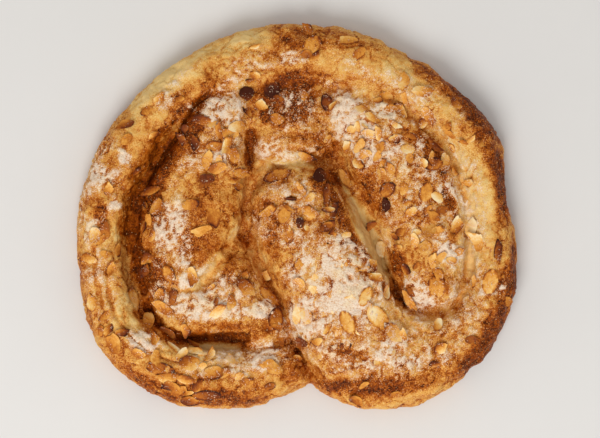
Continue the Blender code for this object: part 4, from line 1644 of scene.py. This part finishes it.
@dataclass(frozen=True)
class SlicePattern:
    """A slice of almond of length and width 1: its outline, its thickness, and where its darker rim lies,
    partly browned skin and partly painted shadow.
    """

    corners: int = 18
    rim: float = 0.08
    taper: float = 0.24
    jag: float = 0.08
    wobble: float = 0.16
    thickness: float = 0.0007

    def build(self, shape: Shape, seed: int) -> bpy.types.Mesh:
        """The slice lying flat round the origin.

        Args:
            shape: how much of the almond is left.
            seed: varies a broken edge.

        Returns:
            A closed mesh whose x and y run from -0.5 to 0.5 and whose z is in metres.
        """
        low, high = shape.value
        made = bmesh.new()
        ring = bmesh.ops.create_circle(made, cap_ends=True, segments=self.corners, radius=0.5)["verts"]
        for k, vertex in enumerate(ring):
            reach = vertex.co.x * 2
            vertex.co.y *= 1 - self.taper * max(0.0, reach) ** 2
            slant = (0.22 - 0.4 * (seed % 2)) * vertex.co.y
            jag = self.jag * noise.noise(Vector((k * 1.7, seed * 5.3, 0.0))) + slant
            wobble = 1 + self.wobble * noise.noise(Vector((k * 0.55, seed * 2.1, 4.0)))
            vertex.co.y *= wobble
            vertex.co.x = min(max(vertex.co.x * wobble, low / 2 + jag), high / 2 + jag)
        centred = Matrix.Translation((-(low + high) / 4, 0, 0))
        stretched = Matrix.Diagonal((2 / (high - low), 1, 1, 1)) @ centred
        bmesh.ops.transform(made, verts=made.verts, matrix=stretched)
        bmesh.ops.poke(made, faces=made.faces[:])
        bmesh.ops.recalc_face_normals(made, faces=made.faces)
        bmesh.ops.solidify(made, geom=made.faces[:], thickness=self.thickness)
        bmesh.ops.recalc_face_normals(made, faces=made.faces)
        lowest = min(vertex.co.z for vertex in made.verts)
        bmesh.ops.translate(made, verts=made.verts, vec=(0, 0, -lowest))
        return mesh_from("slice_pattern", made)

    def rim_of(self, points: np.ndarray) -> np.ndarray:
        """How close each point is to the outline, from 0 inside the rim to 1 on the outline.

        Args:
            points: the slice's points.

        Returns:
            One number for each point.
        """
        along, across = points[:, 0] * 2, points[:, 1] * 2
        ring = np.hypot(along, across / (1 - self.taper * np.clip(along, 0, 1) ** 2))
        return smooth_step((ring - (1 - 1.2 * self.rim)) / self.rim)


@dataclass
class Heap:
    """Points and faces of many small things, gathered to be one mesh."""

    points: list
    faces: list
    values: dict
    count: int = 0

    @classmethod
    def empty(cls, *names: str) -> "Heap":
        """A heap with nothing in it that keeps a value for each name."""
        return cls([], [], {name: [] for name in names})

    def add(self, points: np.ndarray, faces: list, **values: np.ndarray) -> None:
        """Adds one thing: its points, its faces as tuples of indices, and its values.

        Args:
            points: its points, one a row.
            faces: the indices of the points of each face.
            values: a number, or one for each point, under each name.
        """
        self.faces += [tuple(i + self.count for i in face) for face in faces]
        self.points.append(points)
        self.count += len(points)
        for name, value in values.items():
            self.values[name].append(np.broadcast_to(value, len(points)))

    def mesh(self, name: str) -> bpy.types.Mesh:
        """The heap as a mesh with its values stored as attributes.

        Args:
            name: the mesh's name.

        Returns:
            The mesh.
        """
        made = bpy.data.meshes.new(name)
        made.from_pydata(np.vstack(self.points).tolist(), [], self.faces)
        for label, parts in self.values.items():
            write_value(made, label, np.concatenate(parts))
        return made


@dataclass
class AlmondFlakes:
    """The smaller flakes: the striking ones listed, and a scatter of others where the nuts lie."""

    pattern: SlicePattern = SlicePattern()
    variants: int = 3
    # The scatter: how many, how far apart, how long, how wide for their length, and how toasted.
    tries: int = 6000
    scattered: int = 230
    spacing: float = 0.0042
    shortest: float = 0.0060
    longer: float = 0.0085
    widths: tuple = (0.38, 0.8)
    toast: float = 0.49
    toast_spread: float = 0.12
    toast_range: tuple = (0.1, 0.75)
    # How they lie: bent to the crust, flatter than the slope, leaning a little, some of them more.
    hug: float = 0.6
    flat: float = 0.5
    curls: tuple = (-0.3, 0.8)
    lean: float = 0.14
    upright: float = 0.1
    upright_lean: float = 2.4
    steepest: tuple = (0.1, 0.5)
    sink: float = -0.0001
    seed: int = 11

    def patterns(self) -> list:
        """The shapes that the flakes are copies of.

        Returns:
            The points, the faces and how close each point is to the outline, for each shape.
        """
        made = []
        for shape in Shape:
            for k in range(self.variants):
                mesh = self.pattern.build(shape, k)
                points = read_points(mesh)
                faces = [tuple(f.vertices) for f in mesh.polygons]
                made.append((points, faces, self.pattern.rim_of(points)))
        return made

    def scatter(self, rng: np.random.Generator) -> list:
        """Flakes at random places, thicker where the nuts are, none closer than the spacing.

        Args:
            rng: the source of the random draws.

        Returns:
            The flakes.
        """
        made = [PLAN.at(f.u, f.v) for f in PLACED_FLAKES] + [measure_slice(node)[0] for node in SLICE_NODES]
        flakes = []
        tries = rng.uniform(-1, 1, (self.tries, 2))
        places = np.array([PLAN.at(u, v) for u, v in tries])
        fields = TintMap(places)
        chance, bake_and_shade, sugar = (fields.values(tint) for tint in (Tint.NUTS, Tint.BAKE_AND_SHADE, Tint.SUGAR))
        levels = bake_and_shade - 0.7 * np.clip(sugar, 0, 1)
        for (u, v), place, odds, level in zip(tries, places, chance, levels):
            if len(flakes) == self.scattered:
                break
            if rng.random() > odds or min(np.hypot(*(place - other)) for other in made) < self.spacing:
                continue
            made.append(place)
            length = self.shortest + self.longer * rng.random() ** 1.3
            toast = rng.normal(self.toast + 0.3 * (level - 0.4), self.toast_spread)
            toast = float(np.clip(toast, *self.toast_range))
            flakes.append(Flake(u, v, rng.uniform(0, 360), length, length * rng.uniform(*self.widths), toast))
        return flakes

    def build(self, crust: Crust, material: bpy.types.Material) -> bpy.types.Object:
        """All the flakes as one piece.

        Args:
            crust: the surface they lie on.
            material: the toasted almond.

        Returns:
            The piece.
        """
        rng = np.random.default_rng(self.seed)
        patterns = self.patterns()
        heap = Heap.empty("toast", "rim", "dust")
        flakes = [*PLACED_FLAKES, *self.scatter(rng)]
        places = np.array([PLAN.at(flake.u, flake.v) for flake in flakes])
        sugars = TintMap(places).values(Tint.SUGAR)
        for k, (flake, place, sugar) in enumerate(zip(flakes, places, sugars)):
            points, faces, rim = patterns[rng.integers(len(patterns))]
            hit, normal = crust.spot(place)
            by_hand = k < len(PLACED_FLAKES)
            if hit is None or normal.z < self.steepest[0]:
                continue
            if not by_hand and (normal.z < self.steepest[1] or crust.in_hollow(hit)):
                continue
            under = np.hypot(*(places[:k] - place).T) < 0.45 * flake.length
            sized = points * np.array([flake.length, flake.width, 1.0])
            curl = rng.uniform(*self.curls) / flake.length
            lean = rng.normal(0, self.lean, 2) * (self.upright_lean if rng.random() < self.upright else 1)
            sized[:, 2] += curl * sized[:, 0] ** 2 + sized[:, :2] @ lean
            sized[:, 2] += self.pattern.thickness * under.sum()
            facing = crust.flatter(normal, self.flat)
            laid = crust.drape(sized, hit, facing, flake.bearing, self.hug, self.sink)
            shade = points[:, :2] @ rng.normal(0, 0.3, 2)
            # The dark rim, partly browned skin and partly painted shadow, lies on one side of each flake.
            dark_rim_side = np.clip(0.3 + points[:, :2] @ rng.normal(0, 1.4, 2), 0.0, 1)
            dust = (flake.toast < 0.6) * 0.8 * sugar * rng.random()
            heap.add(laid, faces, toast=flake.toast + shade, rim=rim * dark_rim_side, dust=dust)
        mesh = heap.mesh("almond_flakes")
        mesh.shade_smooth()
        mesh.set_sharp_from_angle(angle=math.radians(40))
        piece = show("almond_flakes", mesh, material)
        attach(piece, BODY)
        return piece


# The slices that are clearly browner on one side, by their place in the list: its bearing and how much.
BROWNER_SIDES = {2: (125, 0.3), 5: (150, 0.2), 6: (-50, 0.42), 7: (200, 0.22)}


@dataclass
class LargeSlices:
    """The large slices, each laid where its CAD solid is, but thinner and bent to the crust."""

    pattern: SlicePattern = SlicePattern(corners=28)
    toasts: tuple = (
        0.5, 0.42, 0.66, 0.6, 0.42, 0.38, 0.17, 0.27, 0.2, 0.42,
        0.55, 0.25, 0.6, 0.5, 0.42, 0.45, 0.8, 0.4, 0.68, 0.28,
    )
    hug: float = 0.6
    flat: float = 0.9
    sink: float = 0.0002

    def build(self, crust: Crust, material: bpy.types.Material) -> list:
        """The slices, one piece for each CAD node.

        Args:
            crust: the surface they lie on.
            material: the toasted almond.

        Returns:
            The pieces, in the order of the nodes.
        """
        pieces = []
        for k, (node, toast) in enumerate(zip(SLICE_NODES, self.toasts)):
            mesh = self.pattern.build(Shape.WHOLE, k)
            points = read_points(mesh)
            rim = self.pattern.rim_of(points)
            place, bearing, length, width = measure_slice(node)
            hit, normal = crust.spot(place)
            sized = points * np.array([length, width, 1.0])
            laid = crust.drape(sized, hit, crust.flatter(normal, self.flat), bearing, self.hug, self.sink)
            write_points(mesh, laid)
            way, more = BROWNER_SIDES.get(k, (bearing, 0.1))
            shade = (laid[:, :2] - place) @ heading(way) * 2 / length
            write_value(mesh, "toast", toast + more * shade + 0.14 * points[:, 1])
            write_value(mesh, "rim", rim)
            write_value(mesh, "dust", np.full(len(points), 0.08))
            mesh.shade_smooth()
            mesh.set_sharp_from_angle(angle=math.radians(40))
            piece = show(f"{node}_baked", mesh, material)
            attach(piece, BODY)
            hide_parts(node)
            pieces.append(piece)
        return pieces


# ---------------------------------------------------------------- sugar


@dataclass
class SugarGrains:
    """Coarse grains baked into the crust: thick in the sugar patches, and a few everywhere on top."""

    grains: int = 20000
    smallest: float = 0.00045
    largest: float = 0.00100
    uneven: tuple = (0.7, 1.15)
    # Where they lie: some everywhere, more on thick sugar up to where it is a crust, and few on steep sides.
    everywhere: float = 0.03
    crowding: float = 1.15
    level_gain: float = 1.6
    sunk: float = 0.45
    # How toasted they are where the sugar is thin, and how much that varies.
    toast: float = 0.95
    toast_spread: float = 0.2
    seed: int = 29

    def pattern(self) -> tuple:
        """One grain: a ball of eight faces and size 1 with its corners pulled about, as points and faces.

        Returns:
            The points, one a row, and the indices of the points of each face.
        """
        shape = bmesh.new()
        bmesh.ops.create_uvsphere(shape, u_segments=4, v_segments=2, radius=0.5)
        for k, vertex in enumerate(shape.verts):
            vertex.co *= 0.85 + 0.3 * noise.noise(Vector((k * 1.3, 0.4, 7.1)))
        mesh = mesh_from("grain", shape)
        return read_points(mesh), np.array([tuple(f.vertices) for f in mesh.polygons])

    def spots(self, mesh: bpy.types.Mesh, rng: np.random.Generator) -> tuple:
        """Random spots on the crust, thicker where the sugar is.

        Args:
            mesh: the finished dough.
            rng: the source of the random draws.

        Returns:
            The spots, the crust's normals there, and how thick the sugar lies there.
        """
        mesh.calc_loop_triangles()
        corners = np.empty(len(mesh.loop_triangles) * 3, np.int32)
        mesh.loop_triangles.foreach_get("vertices", corners)
        corners = corners.reshape(-1, 3)
        points, normals = read_points(mesh), read_normals(mesh)
        sugar = read_value(mesh, Tint.SUGAR.value)
        a, b, c = (points[corners[:, k]] for k in range(3))
        area = np.linalg.norm(np.cross(b - a, c - a), axis=1)
        up = np.clip(normals[corners[:, 0], 2] * self.level_gain, 0, 1)
        thick = np.clip(sugar[corners].mean(axis=1), 0, 1)
        weight = area * up * (self.everywhere + thick * (self.crowding - thick))
        picked = rng.choice(len(corners), self.grains, p=weight / weight.sum())
        mix = rng.dirichlet((1, 1, 1), self.grains)
        spots = (mix[:, :1] * a[picked]) + (mix[:, 1:2] * b[picked]) + (mix[:, 2:] * c[picked])
        nearest = corners[picked, 0]
        return spots, normals[nearest], sugar[nearest]

    def build(self, dough: bpy.types.Object, material: bpy.types.Material) -> bpy.types.Object:
        """All the grains as one piece.

        Args:
            dough: the finished dough.
            material: the coarse sugar.

        Returns:
            The piece.
        """
        rng = np.random.default_rng(self.seed)
        spots, facing, sugar = self.spots(dough.data, rng)
        spin = np.linalg.qr(rng.normal(size=(self.grains, 3, 3)))[0]
        size = rng.uniform(self.smallest, self.largest, self.grains) * rng.uniform(*self.uneven, self.grains)
        base, faces = self.pattern()
        middle = spots + facing * (size * (0.5 - self.sunk))[:, None]
        every = np.einsum("gij,pj->gpi", spin, base) * size[:, None, None] + middle[:, None, :]
        every = moved_inside(every, *(np.array(corner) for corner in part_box(DOUGH_NODE)))
        sides = faces[None] + (np.arange(self.grains) * len(base))[:, None, None]
        turned = np.linalg.det(spin) < 0
        sides[turned] = sides[turned][:, :, ::-1]
        made = bpy.data.meshes.new("sugar_grains")
        made.from_pydata(every.reshape(-1, 3).tolist(), [], sides.reshape(-1, faces.shape[1]).tolist())
        thin = 1 - np.clip(sugar, 0, 1)
        toast = np.clip(rng.normal(self.toast * thin, self.toast_spread), 0, 1)
        write_value(made, "toast", np.repeat(toast, len(base)))
        piece = show("sugar_grains", made, material)
        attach(piece, BODY)
        return piece


# ---------------------------------------------------------------- studio


@dataclass
class Studio:
    """A plain pale floor, soft light from the front, and a camera straight above."""

    floor_colour: tuple = (0.765, 0.745, 0.715, 1.0)
    floor_side: float = 4.0
    camera_height: float = 2.0
    seen_level: float = 0.012
    share_of_width: float = 0.7345
    aim: tuple = (0.014, -0.013)
    key_place: tuple = (-0.35, -1.15, 1.55)
    key_size: float = 1.1
    key_power: float = 22.5
    fill_strength: float = 0.58

    def floor(self) -> None:
        """The floor, with a faint unevenness."""
        shape = bmesh.new()
        bmesh.ops.create_grid(shape, x_segments=1, y_segments=1, size=self.floor_side / 2)
        material, graph, shader = new_material("pale_floor", Roughness=0.85, Specular_IOR_Level=0.3)
        place = graph.add("ShaderNodeTexCoord").outputs["Object"]
        cloud = graph.span(graph.noise(place, 9.0, 5.0, 0.65), 0.2, 0.8)
        darker = tuple(0.975 * c for c in self.floor_colour[:3]) + (1.0,)
        graph.link(graph.blend(cloud, darker, self.floor_colour), shader.inputs["Base Color"])
        show("floor", mesh_from("floor", shape), material)

    def light(self) -> None:
        """One large soft light from the front left, and even light from all round."""
        lamp = bpy.data.lights.new("key", "AREA")
        lamp.shape = "DISK"
        lamp.size = self.key_size
        lamp.energy = self.key_power
        key = bpy.data.objects.new("key", lamp)
        key.location = self.key_place
        key.rotation_euler = (-Vector(self.key_place)).to_track_quat("-Z", "Y").to_euler()
        bpy.context.scene.collection.objects.link(key)
        world = bpy.data.worlds.new("studio")
        bpy.context.scene.world = world
        world.use_nodes = True
        around = world.node_tree.nodes["Background"]
        around.inputs["Color"].default_value = (1.0, 0.99, 0.98, 1.0)
        around.inputs["Strength"].default_value = self.fill_strength

    def camera(self) -> None:
        """A long lens straight above, that frames the pastry."""
        lens = bpy.data.cameras.new("camera")
        lens.sensor_width = 36.0
        width = 2 * PLAN.half[0] / self.share_of_width
        lens.lens = lens.sensor_width * (self.camera_height - self.seen_level) / width
        camera = bpy.data.objects.new("camera", lens)
        x, y = PLAN.at(*self.aim)
        camera.location = (x, y, self.camera_height)
        bpy.context.scene.collection.objects.link(camera)
        bpy.context.scene.camera = camera

    def build(self) -> None:
        """The whole studio."""
        self.floor()
        self.light()
        self.camera()
        bpy.context.scene.view_settings.view_transform = "Standard"


def report(piece: bpy.types.Object) -> None:
    """Logs a piece's name and its number of triangles."""
    triangles = sum(len(face.vertices) - 2 for face in piece.data.polygons)
    LOG.info("%s: %d triangles", piece.name, triangles)


def main() -> None:
    """Builds the studio and the kringle, piece by piece."""
    logging.basicConfig(level=logging.INFO, format="%(name)s: %(message)s")
    Studio().build()
    groups = SharedGroups()
    almond = AlmondFinish().build(groups)
    dough = Dough().build(CrustFinish().build(groups))
    report(dough)
    crust = Crust(dough)
    for piece in LargeSlices().build(crust, almond):
        report(piece)
    report(AlmondFlakes().build(crust, almond))
    report(SugarGrains().build(dough, SugarFinish().build(groups)))


if __name__ == "__main__":
    main()
